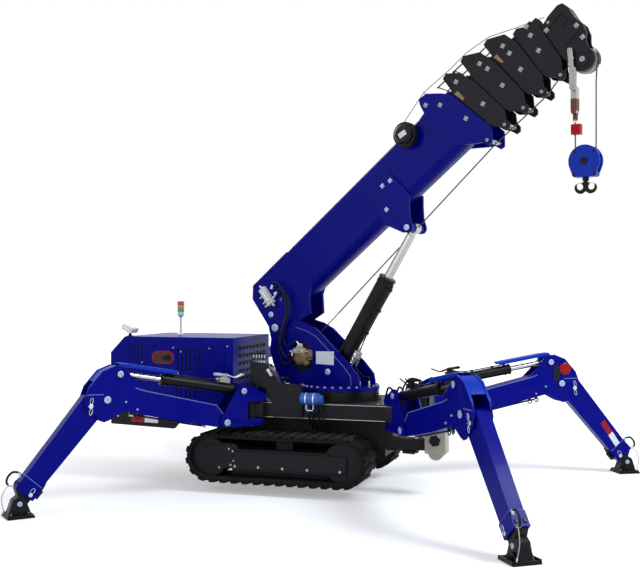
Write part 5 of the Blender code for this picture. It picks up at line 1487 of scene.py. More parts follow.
    def luff(self) -> None:
        """Builds the luff cylinder with its lock valve and pipe."""
        ram = Ram(
            "luff_barrel", "luff_rod", "luff_barrel_hinge", "luff_rod_slide", length=1.399, barrel=0.93,
            radius=0.07, rod_radius=0.036, eye=0.042, eye_half=0.04, hidden=0.44)
        place = ram.build()
        valve = Shape(place)
        valve.box((0.15, -0.118, -0.026), (0.258, -0.066, 0.026))
        valve.box((0.176, -0.128, -0.018), (0.224, -0.117, 0.018))
        valve.rod((0.258, -0.092, 0.0), (0.29, -0.092, 0.0), 0.013, 6)
        valve.rod((0.15, -0.096, 0.01), (0.124, -0.096, 0.01), 0.011, 6)
        valve.build("luff_valve", Role.STEEL, "luff_barrel", 0.002)
        pipe = Shape(place)
        pipe.tube(spline(place.path((
            (0.286, -0.092, 0), (0.33, -0.09, 0), (0.4, -0.082, 0), (0.7, -0.0785, 0), (0.85, -0.08, 0),
            (0.882, -0.079, 0), (0.895, -0.066, 0))), 4), 0.0055, 8)
        for x in (0.42, 0.64, 0.84):
            pipe.box((x, -0.088, -0.014), (x + 0.02, -0.066, 0.014))
        pipe.build("luff_pipe", Role.BLACK, "luff_barrel", angle=50.0)
        ends = Shape(place)
        for x, z in ((0.165, 0.026), (0.2, 0.026), (0.238, 0.026), (0.18, -0.026), (0.222, -0.026)):
            ends.rod((x, -0.092, z), (x, -0.092, z + math.copysign(0.022, z)), 0.0085, 6)
            ends.rod(
                (x, -0.092, z + math.copysign(0.022, z)), (x - 0.012, -0.104, z + math.copysign(0.034, z)),
                0.006, 8)
        ends.build("luff_valve_fittings", Role.SILVER, "luff_barrel")
        low = slewed()
        for number, (z, reach) in enumerate(((0.04, 0.225), (-0.044, 0.255)), 1):
            a = place.at(0.15, -0.104, z)
            b = low.at(reach, self.disc_top + 0.012, z * 1.2)
            hose(f"luff_hose_{number}", [
                a, place.at(0.108, -0.112, z), a.lerp(b, 0.55) + Vector((0, 0, -0.018)),
                b + Vector((0, 0, 0.06)), b], 0.0075, "luff_barrel", "turret")

    def build(self) -> None:
        """Builds the whole upper works."""
        self.shell()
        self.winch()
        self.luff()
        self.hoses()


@dataclass
class Carrier:
    """Deck, controls, oil filter, front gear case and reflectors."""

    hinge: Flat = (0.623, 0.457)
    deck_top: float = 0.729
    face: float = 0.4253
    filter_axis: Flat = (0.771, 0.4753)
    gear_case: Point = (0.7903, 0.345, 0.285)

    def deck(self) -> None:
        """Dresses the chassis with its bolts, tread plate, pipes and reflectors."""
        dress("chassis_frame", Role.DARK, 0.003)
        flat = Place.upright((SLEW[0], SLEW[1], self.deck_top))
        side = ground()
        bolts = Shape(flat)
        for x in (-0.48, 0.44, 0.56):
            for y in (-0.39, 0.39):
                bolts.hex_bolt((x, y, 0.003), 1.0, 0.01, 0.009)
        bolts.build("deck_bolts", Role.STEEL, "carrier")
        plates = Shape(flat)
        for sign in (-1, 1):
            y0, y1 = sorted((sign * 0.372, sign * 0.412))
            plates.box((0.3, y0, 0.0), (0.592, y1, 0.0035))
            plates.box((-0.56, y0, 0.0), (-0.44, y1, 0.0035))
        plates.box((0.42, -0.3, 0.0), (0.592, 0.3, 0.0035))
        plates.build("deck_plates", Role.DARK, "carrier", 0.001)
        for sign, name in ((1, "near"), (-1, "far")):
            for part, role, x0, x1 in (
                    ("red", Role.REFLECT, -1.757, -1.633), ("white", Role.WHITE, -1.629, -1.5)):
                strip = Shape(side)
                z0, z1 = sorted((sign * 0.4042, sign * 0.4066))
                strip.plate([(x0, 0.514), (x1, 0.512), (x1, 0.57), (x0, 0.572)], z0, z1)
                for k in range(3):
                    x = x0 + 0.018 + 0.042 * k
                    strip.plate(
                        [(x, 0.524), (x + 0.03, 0.523), (x + 0.03, 0.56), (x, 0.561)], sign * 0.406,
                        sign * 0.4074)
                strip.build(f"skirt_reflector_{part}_{name}", role, "carrier", 0.0005)
            for number, (x, y) in enumerate(((-1.88, 0.56), (-1.42, 0.548), (-1.35, 0.59)), 1):
                screw = Shape(side)
                screw.pin_head(x, y, sign * 0.404, sign, 0.008)
                screw.build(f"skirt_screw_{number}_{name}", Role.PIN, "carrier")
        edges = Shape(side)
        for sign in (-1, 1):
            for y in (0.6075, 0.7245):
                edges.tube([side.at(x, y, sign * 0.4258) for x in (-0.56, 0.59)], 0.003, 6)
        edges.build("deck_edges", Role.STEEL, "carrier", angle=60.0)
        runs = (
            (-0.112, -0.12, 0.01), (-0.078, -0.084, 0.009), (-0.05, -0.036, 0.008), (-0.022, 0.0, 0.007))
        for number, (x0, x1, radius) in enumerate(runs, 1):
            points = [
                (x0, 0.716, 0.466), (x0 + 0.004, 0.672, 0.47), (x1, 0.61, 0.456), (x1 + 0.01, 0.56, 0.42),
                (x1 - 0.01, 0.52, 0.33)]
            hose(f"filter_hose_{number}", side.path(points), radius, "carrier", crimp=Role.HOSE)

    def controls(self) -> None:
        """Adds the bank of levers, the tag, screws and trim of the control box."""
        dress("control_box", Role.DARK, 0.004)
        side = Place.level((SLEW[0] - self.hinge[0], SLEW[1], self.deck_top))
        levers, knobs = Shape(side), Shape(side)
        for i in range(5):
            x = 0.005 + 0.024 * i
            z = self.face - 0.006
            levers.rod((x, 0.322, z), (x, 0.336, z), 0.0085, 8)
            levers.rod((x, 0.336, z), (x + 0.003, 0.392, z + 0.002), 0.0045, 8)
            levers.rod((x, 0.33, z), (x + 0.022, 0.344, z + 0.006), 0.0035, 6)
            knobs.spin((x + 0.003, 0.386, z + 0.002), side.rise, [
                (0.004, 0.0), (0.0085, 0.005), (0.01, 0.012), (0.0085, 0.018), (0.003, 0.0215)], 12)
        levers.build("control_levers", Role.SILVER, "carrier")
        knobs.build("control_knobs", Role.BLACK, "carrier")
        tag = Shape(side)
        z = self.face + 0.0202
        tag.plate([(0.126, 0.266), (0.148, 0.278), (0.186, 0.226), (0.164, 0.212)], z, z + 0.0018)
        tag.plate([(0.131, 0.264), (0.147, 0.272), (0.18, 0.227), (0.165, 0.217)], z + 0.0016, z + 0.0024)
        tag.build("control_tag", Role.PALE, "carrier", 0.0004)
        screws = Shape(side)
        for x, y in (
                (0.0, 0.3), (0.012, 0.2), (0.15, 0.06), (0.196, 0.12), (0.41, 0.13), (0.2, -0.095),
                (0.415, -0.095)):
            screws.pin_head(x, y, z, 1.0, 0.007)
        screws.build("control_screws", Role.DARK, "carrier")
        trim = Shape(side)
        trim.tube(side.path((
            (-0.007, 0.18), (0.023, 0.154), (0.063, 0.127), (0.133, 0.109), (0.137, 0.04), (0.176, 0.007)),
            z), 0.0032, 6)
        trim.tube(side.path((
            (0.163, 0.256), (0.194, 0.214), (0.223, 0.176), (0.253, 0.154), (0.431, 0.148),
            (0.437, -0.117)), z), 0.0032, 6)
        trim.build("control_trim", Role.BLACK, "carrier", angle=50.0)

    def fittings(self) -> None:
        """Dresses the oil filter with its clamp and the front gear case."""
        side = ground()
        dress("oil_filter", Role.AZURE, 0.006)
        y, z = self.filter_axis
        clamp = Shape(side)
        for x in (-0.14, -0.074):
            clamp.spin((x, y, z), side.along, [
                (0.0502, 0.0), (0.052, 0.001), (0.052, 0.009), (0.0502, 0.01)], 28)
        bow = (
            (-0.134, -0.046), (-0.14, -0.074), (-0.128, -0.092), (-0.086, -0.092), (-0.074, -0.074),
            (-0.08, -0.046))
        clamp.tube([side.at(x, y + low, z + 0.012) for x, low in bow], 0.0055, 8)
        clamp.build("filter_clamps", Role.SILVER, "carrier", angle=50.0)
        dress("front_gear_case", Role.BEIGE, 0.006)
        x0, y0, face = self.gear_case
        bolts = Shape(side)
        for x, y in ((0.02, 0.022), (0.15, 0.022), (0.02, 0.203), (0.15, 0.203), (0.15, 0.112)):
            bolts.hex_bolt((x0 + x, y0 + y, face), 1.0, 0.008)
        bolts.build("gear_case_bolts", Role.STEEL, "carrier")
        plug = Shape(side)
        plug.plate(circle(x0 + 0.085, y0 + 0.107, 0.0475, 10, 370, 6), face, face + 0.0195)
        plug.lathe(x0 + 0.085, y0 + 0.107, [
            (0.034, face + 0.019), (0.034, face + 0.022), (0.026, face + 0.024), (0.012, face + 0.0245)],
            20)
        plug.build("gear_case_plug", Role.BLACK, "carrier", 0.002)
        arm = Shape(side)
        arm.box((0.47, 0.356, 0.13), (0.56, 0.364, 0.27))
        arm.rod((0.56, 0.372, 0.17), (0.72, 0.362, 0.21), 0.03, 18)
        arm.rod((0.6, 0.35, 0.23), (0.7, 0.345, 0.23), 0.02, 12)
        arm.build("front_pump", Role.BLACK, "carrier", 0.002)

    def build(self) -> None:
        """Builds the carrier's trim."""
        self.deck()
        self.controls()
        self.fittings()


@dataclass
class Hood:
    """Engine hood with doors, grilles, recess, signal lamp and screen."""

    front: float = -0.8
    rear: float = -1.945
    top: float = 1.25
    half: float = 0.42
    wall: float = 0.006
    door_rear: float = -1.605
    door_low: float = 0.92
    door_high: float = 1.2

    def grille(
            self, name: str, body: str, box: tuple[float, float, float, float], depth: float,
            sign: float) -> None:
        """Puts cross bars over tall slots, so that rows of small openings show, with dark mesh behind them.

        Args:
            name: the piece's name.
            body: the body it rides on.
            box: from and to along the machine, then from and to in height.
            depth: the outer face, from the middle of the machine.
            sign: 1 on the near side and -1 on the far one.
        """
        side = ground()
        x0, x1, y0, y1 = box
        bars = Shape(side)
        rows = max(3, round((y1 - y0) / 0.031))
        for row in range(1, rows):
            y = y0 + (y1 - y0) * row / rows
            z0, z1 = sorted((sign * (depth - 0.0008), sign * (depth - 0.0052)))
            bars.box((x0, y - 0.0062, z0), (x1, y + 0.0062, z1))
        bars.build(f"{name}_bars", Role.BLUE, body)
        mesh = Shape(side)
        z0, z1 = sorted((sign * (depth - 0.0065), sign * (depth - 0.0085)))
        for k in range(12):
            x = x0 - 0.004 + (x1 - x0 + 0.008) * (k + 0.5) / 12
            mesh.box((x - 0.007, y0 - 0.004, z0), (x + 0.007, y1 + 0.004, z1))
        for k in range(2):
            y = y0 - 0.006 + (y1 - y0 + 0.008) * k
            mesh.box((x0 - 0.012, y, z0 - sign * 0.001), (x1 + 0.012, y + 0.008, z1))
        mesh.build(f"{name}_mesh", Role.BLACK, body)

    def shell(self) -> None:
        """Dresses the hood, its front louvres, grilles and screws."""
        side = ground()
        dress("hood", Role.BLUE, 0.004)
        dress("engine_block", Role.ENGINE, 0.01)
        for name, sign in (("near", 1), ("far", -1)):
            self.grille(
                f"grille_rear_{name}", "carrier",
                (self.rear + 0.19, self.rear + 0.318, self.top - 0.195, self.top - 0.07), self.half, sign)
            self.grille(
                f"grille_low_{name}", "carrier", (self.front - 0.54, self.front - 0.28, 0.74, 0.86),
                self.half, sign)
            screws = Shape(side)
            for x, y in (
                    (-1.64, 1.03), (-1.72, 0.86), (-1.45, 0.862), (-0.85, 1.18), (-0.84, 0.7), (-1.8, 0.7),
                    (-1.4, 0.68)):
                screws.pin_head(x, y, sign * self.half, sign, 0.0065)
            screws.build(f"hood_screws_{name}", Role.PIN, "carrier")
        ahead = Place.on((SLEW[0] + self.front, SLEW[1], 0.0), (1, 0, 0), (0, 1, 0))
        blades = Shape(ahead)
        for row in range(6):
            y = self.top - 0.43 + 0.064 * row
            for k in range(3):
                z0 = -0.009 - 0.003 * k
                blades.box((-0.326, y + 0.009 * k, z0 - 0.003), (0.326, y + 0.006 + 0.009 * k, z0 + 0.004))
        for k in range(9):
            x = -0.32 + 0.08 * k
            blades.box((x - 0.004, self.top - 0.436, -0.007), (x + 0.004, self.top - 0.07, -0.0008))
        blades.build("hood_front_blades", Role.BLACK, "carrier")
        net = Shape(ahead)
        for row in range(24):
            y = self.top - 0.44 + 0.016 * row
            net.box((-0.345, y, -0.03), (0.345, y + 0.0045, -0.026))
        for k in range(44):
            x = -0.344 + 0.016 * k
            net.box((x, self.top - 0.44, -0.034), (x + 0.0045, self.top - 0.058, -0.03))
        net.box((-0.35, self.top - 0.446, -0.044), (0.35, self.top - 0.052, -0.04))
        net.build("hood_front_net", Role.MAROON, "carrier")
        seams = Shape(side)
        for sign in (-1, 1):
            for path in (
                    ((self.door_rear - 0.168, 0.61), (self.door_rear - 0.168, 1.244)),
                    ((self.front - 0.012, 0.615), (self.front - 0.012, 1.238))):
                seams.tube(side.path(path, sign * (self.half + 0.0004)), 0.0022, 6)
        seams.build("hood_seams", Role.BLUE, "carrier", angle=60.0)

    def doors(self) -> None:
        """Dresses the side doors with grille bars, the recess, the latch and hinges."""
        side = ground()
        face = self.half + 0.0003 + self.wall
        for name, sign in (("near", 1), ("far", -1)):
            body = f"{name}_door"
            dress(f"hood_door_{name}", Role.BLUE, 0.0015)
            self.grille(f"grille_door_{name}", body, (
                self.front - 0.52, self.front - 0.29, self.door_low + 0.045, self.door_high - 0.05), face,
                sign)
            x0, x1, y = -1.49, -1.392, 1.076
            for part, role, radius, low, high in (
                    ("recess_rim", Role.BLUE, 0.062, -0.001, 0.0045),
                    ("recess_trim", Role.RED, 0.055, 0.0, 0.0055),
                    ("recess_floor", Role.MAROON, 0.047, 0.0, 0.0062)):
                form = Shape(side)
                outline = circle(x1, y, radius, -90, 90, 14) + circle(x0, y, radius, 90, 270, 14)
                form.plate(outline, sign * (face + low), sign * (face + high))
                form.build(f"door_{part}_{name}", role, body, 0.0008)
            latch = Shape(side)
            form = circle(x1 - 0.004, y - 0.004, 0.03, -60, 100, 8) + [
                (x1 - 0.05, y + 0.006), (x1 - 0.056, y - 0.018)]
            latch.plate(form, sign * (face + 0.006), sign * (face + 0.0095))
            latch.pin_head(x1 - 0.005, y, sign * (face + 0.009), sign, 0.012)
            latch.build(f"door_latch_{name}", Role.BLACK, body, 0.001)
            hinges = Shape(side)
            for x in (-1.56, -1.04):
                hinges.box(
                    (x, self.door_high - 0.036, sign * (face - 0.001)),
                    (x + 0.06, self.door_high - 0.004, sign * (face + 0.003)))
                for dx in (0.014, 0.046):
                    hinges.pin_head(x + dx, self.door_high - 0.02, sign * (face + 0.003), sign, 0.005)
            hinges.build(f"door_hinges_{name}", Role.BLUE, body, 0.0008)
            screws = Shape(side)
            for x, y in ((-1.344, 1.16), (-1.272, 1.128), (-1.01, 1.16), (-0.905, 0.945), (-1.3, 0.945)):
                screws.pin_head(x, y, sign * face, sign, 0.0065)
            screws.build(f"door_screws_{name}", Role.PIN, body)

    def lamp(self) -> None:
        """Builds the signal lamp in coloured tiers and the tilted screen."""
        foot = Place.upright((SLEW[0] + self.front - 0.68, SLEW[1], self.top + 0.0003))
        tiers = (
            ("base", Role.WHITE, [(0.034, 0.0), (0.034, 0.007), (0.022, 0.013), (0.0105, 0.017),
            (0.0095, 0.12), (0.0125, 0.15), (0.013, 0.16)]),
            ("clear", Role.CLEAR,
            [(0.013, 0.158), (0.029, 0.172), (0.0298, 0.176), (0.0298, 0.203), (0.0285, 0.204)]),
            ("green", Role.LAMP_GREEN,
            [(0.0285, 0.2045), (0.0298, 0.206), (0.0298, 0.232), (0.0285, 0.2335)]),
            ("amber", Role.LAMP_AMBER,
            [(0.0285, 0.234), (0.0298, 0.2355), (0.0298, 0.263), (0.0285, 0.2645)]),
            ("red", Role.LAMP_RED,
            [(0.0285, 0.265), (0.0298, 0.2665), (0.0298, 0.292), (0.026, 0.299), (0.01, 0.2999)]))
        for number, (name, role, profile) in enumerate(tiers):
            tier = Shape(foot)
            tier.lathe(0, 0, profile, 28)
            for k in range(4 if number > 1 else 0):
                z = profile[1][1] + 0.004 + 0.0055 * k
                tier.hoop(
                    0, 0, [(0.0295, z), (0.03, z + 0.001), (0.03, z + 0.002), (0.0295, z + 0.003)], 28)
            tier.build(
                f"signal_lamp_{name}", role, "carrier", angle=28.0, replaces=("tower_lamp",) if number == 0
                else ())
        base = Place.level((SLEW[0] + self.rear + 0.155, SLEW[1] - self.half + 0.06, self.top + 0.0003))
        stalk = Shape(base)
        stalk.spin((0, 0, 0), base.rise, [
            (0.03, 0.0), (0.03, 0.004), (0.014, 0.008), (0.012, 0.046), (0.01, 0.06)], 20)
        stalk.box((-0.022, 0.03, -0.018), (0.022, 0.052, 0.018))
        stalk.build("screen_stalk", Role.BLACK, "carrier", 0.001, replaces=("display",))
        tilted = base.moved(0.0, 0.068, 0.0, -25.0)
        Shape(tilted).plate([
            (-0.052, -0.02), (-0.046, -0.026), (0.046, -0.026), (0.052, -0.02), (0.052, 0.016),
            (0.046, 0.022), (-0.046, 0.022), (-0.052, 0.016)], -0.062,
            0.062).build("screen_case", Role.WHITE, "carrier", 0.003)
        glass = Shape(tilted)
        glass.box((-0.042, 0.0215, -0.052), (0.042, 0.0226, 0.052))
        glass.box((-0.038, -0.014, 0.0615), (0.024, 0.01, 0.0628))
        glass.build("screen_panels", Role.PALE, "carrier", 0.0004)
        vents = Shape(tilted)
        for k in range(4):
            vents.box((-0.034 + 0.015 * k, -0.01, 0.0625), (-0.026 + 0.015 * k, 0.006, 0.0632))
        vents.build("screen_marks", Role.SILVER, "carrier")

    def build(self) -> None:
        """Builds the hood and what stands on it."""
        self.shell()
        self.doors()
        self.lamp()


@dataclass
class Leg:
    """One outrigger leg: bracket, arm, cylinder with guard, lower leg and foot."""

    name: str
    forward: float
    outward: float
    swing: float
    pitch: float = 13.43
    knee: float = -61.75
    length: float = 1.0139
    arm_half: float = 0.072
    leg_half: float = 0.052
    cheek: float = 0.0925
    reach: float = 0.9683
    red: bool = False

    @property
    def side(self) -> Vector:
        """The leg's own side axis."""
        heading = math.atan2(
            self.outward * math.sin(math.radians(self.swing)),
            self.forward * math.cos(math.radians(self.swing)))
        return Vector((math.sin(heading), -math.cos(heading), 0.0))

    def frame(self, joint: str, turn: float = 0.0) -> Place:
        """The leg's frame at one of its joints, turned by degrees.

        Args:
            joint: the joint's name before the leg's own name.
            turn: the pitch of the frame's along axis.

        Returns:
            The frame.
        """
        return Place.on(JOINTS[f"{joint}_{self.name}"]["pos_m"], self.side).moved(0, 0, 0, turn)

    def bracket(self) -> None:
        """Dresses the bracket with its pins and the hoses over the hinge."""
        hinge = JOINTS[f"leg_swing_{self.name}"]["pos_m"]
        place = Place.on((hinge[0], hinge[1], 0.0), self.side)
        dress(f"leg_bracket_{self.name}", Role.BLUE, 0.003)
        pins = Shape(place)
        for sign in (-1, 1):
            pins.pin_head(0.1167, 0.8318, sign * (self.cheek + 0.008), sign, 0.024)
            pins.pin_head(0.265, 0.5867, sign * (self.cheek + 0.008), sign, 0.026)
        top = Place.upright((hinge[0], hinge[1], 0.0))
        pins.spin((0, 0, 0), Vector((0, 0, 1)), [
            (0.031, 0.79), (0.031, 0.8), (0.026, 0.803), (0.01, 0.803), (0.009, 0.797)], 20)
        pins.spin((0, 0, 0), Vector((0, 0, -1)), [
            (0.027, -0.548), (0.027, -0.536), (0.022, -0.532), (0.009, -0.532), (0.008, -0.537)], 20)
        pins.build(f"bracket_pins_{self.name}", Role.PIN, f"bracket_{self.name}", angle=40.0)
        bolts = Shape(top)
        for x, y in ((0.044, 0.034), (-0.044, 0.034), (0.044, -0.034), (-0.044, -0.034)):
            bolts.hex_bolt((x, y, 0.7915), 1.0, 0.008, 0.008)
        bolts.build(f"bracket_bolts_{self.name}", Role.SILVER, f"bracket_{self.name}")
        for number, z in enumerate((0.045, -0.045), 1):
            points = [
                (-0.175, 0.742, z * 1.2), (-0.16, 0.81, z), (-0.11, 0.872, z), (-0.04, 0.866, z),
                (-0.016, 0.826, z), (-0.012, 0.794, z)]
            hose(
                f"hinge_hose_{number}_{self.name}", place.path(points), 0.0085, "carrier",
                f"bracket_{self.name}")

    def arm(self) -> None:
        """Dresses the arm with its pins, seam lines painted as edge highlights, the fork's cover in a
        painted highlight blue, clips and lock pin.
        """
        place = self.frame("leg_lift", self.pitch)
        body = f"arm_{self.name}"
        dress(f"leg_arm_{self.name}", Role.BLUE, 0.003)
        face, end = self.arm_half, self.length
        pins = Shape(place)
        seams = Shape(place)
        for sign in (-1, 1):
            pins.pin_head(end, 0.0, sign * (face + 0.01), sign, 0.027)
            pins.pin_head(end - 0.0552, 0.2082, sign * (face + 0.01), sign, 0.024)
            pins.pin_head(end - 0.15, 0.01, sign * face, sign, 0.008)
            pins.pin_head(0.76, -0.03, sign * face, sign, 0.008)
            z = sign * (face + 0.0006)
            seams.tube(
                place.path(((0.716, 0.119), (0.42, 0.119), (0.112, 0.118), (0.022, 0.049)), z), 0.0032, 6)
            seams.tube(place.path(((0.716, 0.119), (0.77, 0.122), (0.812, 0.128)), z), 0.0032, 6)
            seams.tube(
                place.path(((end + 0.158, 0.004), (end + 0.1, 0.02), (end + 0.034, 0.032)), z), 0.003, 6)
        pins.build(f"arm_pins_{self.name}", Role.PIN, body, angle=40.0)
        # The seam lines along the top flange are pale blue: painted highlight on the edge.
        seams.build(f"arm_edge_highlights_{self.name}", Role.EDGE_HIGHLIGHT, body, angle=60.0)
        cover = Shape(place)
        inner = self.arm_half - 0.014 + 0.0004
        cover.plate([
            (end - 0.018, 0.249), (end - 0.012, 0.26), (end + 0.079, 0.199), (end + 0.125, 0.115),
            (end + 0.114, 0.11), (end + 0.07, 0.19)], -inner, inner)
        for sign in (-1, 1):
            cover.plate([
                (end + 0.1, 0.15), (end + 0.112, 0.128), (end + 0.116, 0.131), (end + 0.104, 0.153)],
                sign * 0.03, sign * 0.044)
        for sign in (-1, 1):
            cover.plate([
                (end - 0.016, 0.2622), (end - 0.008, 0.2662), (end + 0.084, 0.2032), (end + 0.158, 0.064),
                (end + 0.152, 0.062), (end + 0.08, 0.1985)], sign * (inner - 0.002),
                sign * (self.arm_half + 0.003))
        # The cover takes the lighter blue: painted highlight of its sky-facing faces.
        cover.build(f"arm_cover_{self.name}", Role.HIGHLIGHT_BLUE, body, 0.002)
        lock = Shape(place)
        x, y = end + 0.112, -0.071
        for sign in (-1, 1):
            lock.pin_head(x, y, sign * face, sign, 0.018)
            lock.rod((x, y, sign * (face + 0.006)), (x, y, sign * (face + 0.02)), 0.009, 12)
            for way in (-1, 1):
                ring = [place.at(
                    x + way * 0.006 + 0.011 * math.cos(t), y + way * 0.04 + 0.024 * math.sin(t),
                    sign * (face + 0.014)) for t in (2 * math.pi * k / 14 for k in range(15))]
                lock.tube(ring, 0.0022, 6)
        lock.build(f"arm_lock_pin_{self.name}", Role.SILVER, body, angle=50.0)
        clips = Shape(place)
        for x in (0.705, 0.768):
            ring = [
                place.at(x + 0.018 * math.cos(t), -0.09 + 0.019 * math.sin(t), 0.03)
                for t in (math.pi * (k / 9 - 1.25) for k in range(14))]
            clips.tube(ring, 0.005, 7)
            clips.box((x - 0.012, -0.082, 0.022), (x + 0.012, -0.06, 0.038))
        clips.build(f"arm_clips_{self.name}", Role.BLACK, body, angle=50.0)
        line = [
            (0.13, -0.066, 0.03), (0.3, -0.072, 0.03), (0.6, -0.078, 0.03), (0.73, -0.083, 0.03),
            (0.776, -0.088, 0.032)]
        hose(f"arm_hose_{self.name}", place.path(line), 0.0075, body)
        if self.red:
            self.reflectors(place)

    def reflectors(self, place: Place) -> None:
        """Adds the round reflector and the blank plate at the elbow.

        Args:
            place: the arm's frame.
        """
        x, y, z = self.length + 0.062, 0.1155, self.arm_half
        disc = Shape(place)
        disc.lathe(x, y, [
            (0.054, z), (0.054, z + 0.006), (0.05, z + 0.009), (0.03, z + 0.0115), (0.006, z + 0.012)], 32)
        for r in (0.018, 0.03, 0.042):
            disc.hoop(x, y, [(r - 0.0012, z + 0.009), (r, z + 0.0128), (r + 0.0012, z + 0.009)], 32)
        disc.build(f"elbow_reflector_{self.name}", Role.REFLECT, f"arm_{self.name}")
        plate = Shape(place.moved(self.length - 0.022, 0.1, 0.0, -self.pitch))
        plate.plate(
            [(-0.026, -0.064), (0.026, -0.074), (0.026, 0.06), (-0.026, 0.068)], z + 0.0002, z + 0.0018)
        for y0 in (-0.052, -0.018, 0.016):
            plate.plate(
                [(-0.018, y0), (0.016, y0 - 0.006), (0.016, y0 + 0.02), (-0.018, y0 + 0.026)], z + 0.0016,
                z + 0.0026)
        plate.build(f"elbow_plate_{self.name}", Role.DARK, f"arm_{self.name}", 0.0004)

    def cylinder(self) -> None:
        """Builds the lift cylinder with its guard, lock valve, pipes and coiled guards of the hoses."""
        ram = Ram(
            f"leg_{self.name}_barrel", f"leg_{self.name}_rod", f"leg_barrel_hinge_{self.name}",
            f"leg_rod_slide_{self.name}", length=1.048, barrel=0.69, radius=0.042, rod_radius=0.022,
            eye=0.036, eye_half=0.036)
        place = ram.build()
        place = Place.on(place.origin, self.side, place.along)
        guard = Shape(place)
        outline = [
            (-0.05, 0.056), (-0.05, 0.08), (-0.044, 0.086), (0.044, 0.086), (0.05, 0.08), (0.05, 0.056),
            (0.0465, 0.056), (0.0465, 0.079), (0.042, 0.0825), (-0.042, 0.0825), (-0.0465, 0.079),
            (-0.0465, 0.056)]
        rings = []
        for x, lean in ((0.56, 0.0), (0.6, 0.0), (0.99, 0.0), (1.06, -0.006)):
            rings.append([place.at(
                x + (0.03 * (0.086 - v) / 0.03 if x < 0.58 else 0.0), v + lean * (v > 0.07), u) for u,
                v in outline])
        guard.loft(rings)
        guard.box((0.964, 0.03, -0.016), (0.984, 0.083, 0.016))
        guard.spin((0.962, 0, 0), place.along, [
            (0.0225, 0.0), (0.032, 0.001), (0.032, 0.023), (0.0225, 0.024)], 24)
        # The guard takes the lighter blue: painted highlight of its upward, sunlit faces.
        guard.build(f"ram_guard_{self.name}", Role.HIGHLIGHT_BLUE, f"rod_{self.name}", 0.0012)
        valve = Shape(place)
        valve.box((0.1, 0.044, -0.028), (0.19, 0.082, 0.028))
        valve.box((0.118, 0.081, -0.018), (0.168, 0.094, 0.018))
        valve.rod((0.19, 0.064, 0.0), (0.216, 0.064, 0.0), 0.012, 6)
        valve.build(
            f"ram_valve_{self.name}", Role.DARK if self.forward > 0 else Role.STEEL, f"barrel_{self.name}",
            0.002)
        pipe = Shape(place)
        pipe.tube(spline(place.path((
            (0.214, 0.064, 0), (0.25, 0.062, 0), (0.3, 0.052, 0), (0.56, 0.0495, 0), (0.63, 0.051, 0),
            (0.652, 0.045, 0))), 4), 0.005, 8)
        for x in (0.33, 0.52):
            pipe.box((x, 0.04, -0.012), (x + 0.018, 0.057, 0.012))
        pipe.build(f"ram_pipe_{self.name}", Role.BLACK, f"barrel_{self.name}", angle=50.0)
        coil = Shape(place)
        for z in (-0.014, 0.016):
            coil.coil((0.232, 0.1, z), (0.12, 0.104, z), 0.0115, 0.0026, 9)
            coil.tube(spline(place.path((
                (0.236, 0.099, z), (0.18, 0.102, z), (0.115, 0.104, z), (0.06, 0.096, z), (0.02, 0.112, z),
                (-0.016, 0.134, z * 1.6))), 4), 0.006, 7)
        coil.build(
            f"ram_hose_guards_{self.name}", Role.HOSE if self.forward > 0 else Role.SILVER,
            f"barrel_{self.name}", angle=50.0)

    def lower(self) -> None:
        """Dresses the lower leg, its collar, lock pin, hose loop and reflector strip."""
        place = self.frame("leg_fold", self.pitch + self.knee)
        body = f"lower_leg_{self.name}"
        dress(body, Role.BLUE, 0.004)
        face = self.leg_half + 0.006
        lock = Shape(place)
        for sign in (-1, 1):
            lock.pin_head(0.874, -0.015, sign * face, sign, 0.015)
            lock.rod(
                (0.874, -0.015, sign * (face + 0.004)), (0.874, -0.015, sign * (face + 0.018)), 0.007, 10)
            ring = [
                place.at(0.845 + 0.024 * math.cos(t), -0.006 + 0.013 * math.sin(t), sign * (face + 0.012))
                for t in (2 * math.pi * k / 14 for k in range(15))]
            lock.tube(ring, 0.002, 6)
        lock.build(f"collar_lock_pin_{self.name}", Role.SILVER, body, angle=50.0)
        # Pale blue lines round the collar: painted highlight along its edges.
        trim = Shape(place)
        for sign in (-1, 1):
            trim.tube(
                [place.at(0.788, y, sign * (self.leg_half + 0.0005)) for y in (-0.05, 0.102)], 0.0028, 6)
        trim.tube([place.at(0.788, 0.1055, z) for z in (-0.05, 0.05)], 0.003, 6)
        trim.build(f"collar_edge_highlight_{self.name}", Role.EDGE_HIGHLIGHT, body, angle=60.0)
        edge = Shape(place)
        for z in (-0.03, 0.03):
            edge.box((0.85, 0.1055, z - 0.01), (0.875, 0.114, z + 0.01))
        edge.box((0.8, -0.09, -0.018), (0.87, -0.0595, 0.018))
        edge.rod((0.806, -0.078, 0.0), (0.74, -0.066, 0.0), 0.007, 8)
        edge.build(f"collar_blocks_{self.name}", Role.BLACK, body, 0.002)
        loop = [
            (0.812, 0.106, 0.034), (0.8, 0.132, 0.038), (0.826, 0.17, 0.04), (0.878, 0.172, 0.04),
            (0.91, 0.146, 0.038), (0.896, 0.108, 0.034)]
        hose(f"collar_hose_{self.name}", place.path(loop), 0.0085, body)
        if self.red:
            for part, role, x0, x1 in (
                    ("red", Role.REFLECT, 0.53, 0.658), ("white", Role.WHITE, 0.662, 0.785)):
                strip = Shape(place)
                z = self.leg_half
                u, v = (0.066 - 0.125 * (x - 0.53) for x in (x0, x1))
                strip.plate(
                    [(x0, u - 0.026), (x1, v - 0.026), (x1, v + 0.026), (x0, u + 0.026)], z + 0.0002,
                    z + 0.0016)
                for k in range(2):
                    x, w = x0 + 0.008 + 0.058 * k, u - 0.008 * k
                    strip.plate([
                        (x, w - 0.018), (x + 0.05, w - 0.024), (x + 0.05, w + 0.015), (x, w + 0.02)],
                        z + 0.0014, z + 0.0024)
                strip.build(f"leg_strip_{part}_{self.name}", role, body, 0.0004)

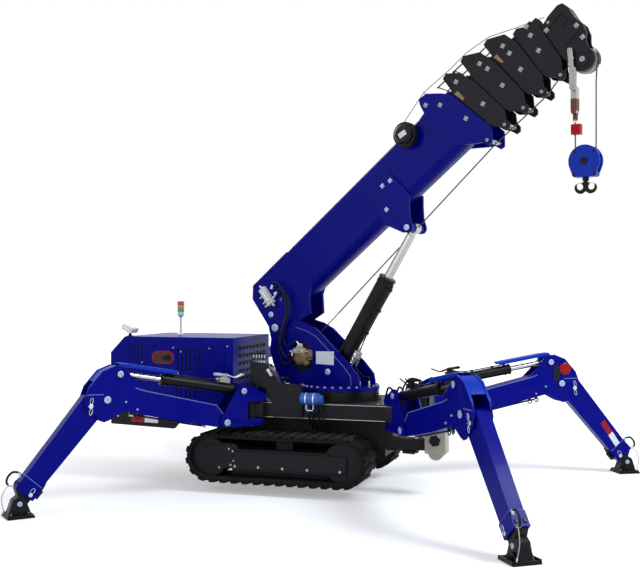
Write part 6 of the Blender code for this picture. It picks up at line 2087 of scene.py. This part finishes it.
    def foot(self) -> None:
        """Dresses the inner leg and its foot with ribs, pins and a cable."""
        knee = self.frame("leg_fold", self.pitch + self.knee)
        body = f"inner_leg_{self.name}"
        dress(body, Role.BLACK, 0.004)
        ankle = knee.at(self.reach, 0.0)
        place = Place.on(ankle, self.side)
        floor = -ankle.z
        ribs = Shape(place)
        for sign in (-1, 1):
            z0, z1 = sorted((sign * 0.056, sign * 0.066))
            ribs.plate([
                (-0.074, floor + 0.012), (0.074, floor + 0.012), (0.03, floor + 0.066),
                (-0.03, floor + 0.066)], z0, z1)
            ribs.plate([
                (-0.024, floor + 0.012), (0.024, floor + 0.012), (0.018, floor + 0.04),
                (-0.018, floor + 0.04)], sign * 0.064, sign * 0.08)
        for x in (-0.093, 0.085):
            ribs.box((x, floor + 0.01, -0.085), (x + 0.008, floor + 0.024, 0.085))
        ribs.build(f"foot_ribs_{self.name}", Role.BLACK, body, 0.002)
        pins = Shape(place)
        for sign in (-1, 1):
            pins.pin_head(0.0, 0.0, sign * 0.046, sign, 0.019)
            for x in (-0.062, 0.062):
                pins.hex_bolt((x, floor + 0.026, sign * 0.046), sign, 0.006)
        pins.build(f"foot_pins_{self.name}", Role.PIN, body, angle=40.0)
        rope = [
            knee.at(0.9, 0.104, 0.034), knee.at(0.93, 0.128, 0.048), place.at(0.104, 0.03, 0.06),
            place.at(0.084, floor + 0.022, 0.07)]
        hose(f"foot_cable_{self.name}", rope, 0.0032, f"lower_leg_{self.name}", body, Role.STEEL)

    def build(self) -> None:
        """Builds the leg from hinge to foot."""
        self.bracket()
        self.arm()
        self.cylinder()
        self.lower()
        self.foot()


def main() -> None:
    """Builds the crane piece by piece."""
    logging.basicConfig(level=logging.INFO, format="%(message)s")
    legs = [Leg(*leg, red=leg[0] == "front_far") for leg in LEGS]
    for builder in (Studio(), Tracks(), Carrier(), Hood(), Upper(), Boom(), HangingGear(), *legs):
        before = len(bpy.data.objects)
        builder.build()
        LOG.info(
            "%s %s: %d objects", type(builder).__name__, getattr(builder, "name", "built"),
            len(bpy.data.objects) - before)


if __name__ == "__main__":
    main()
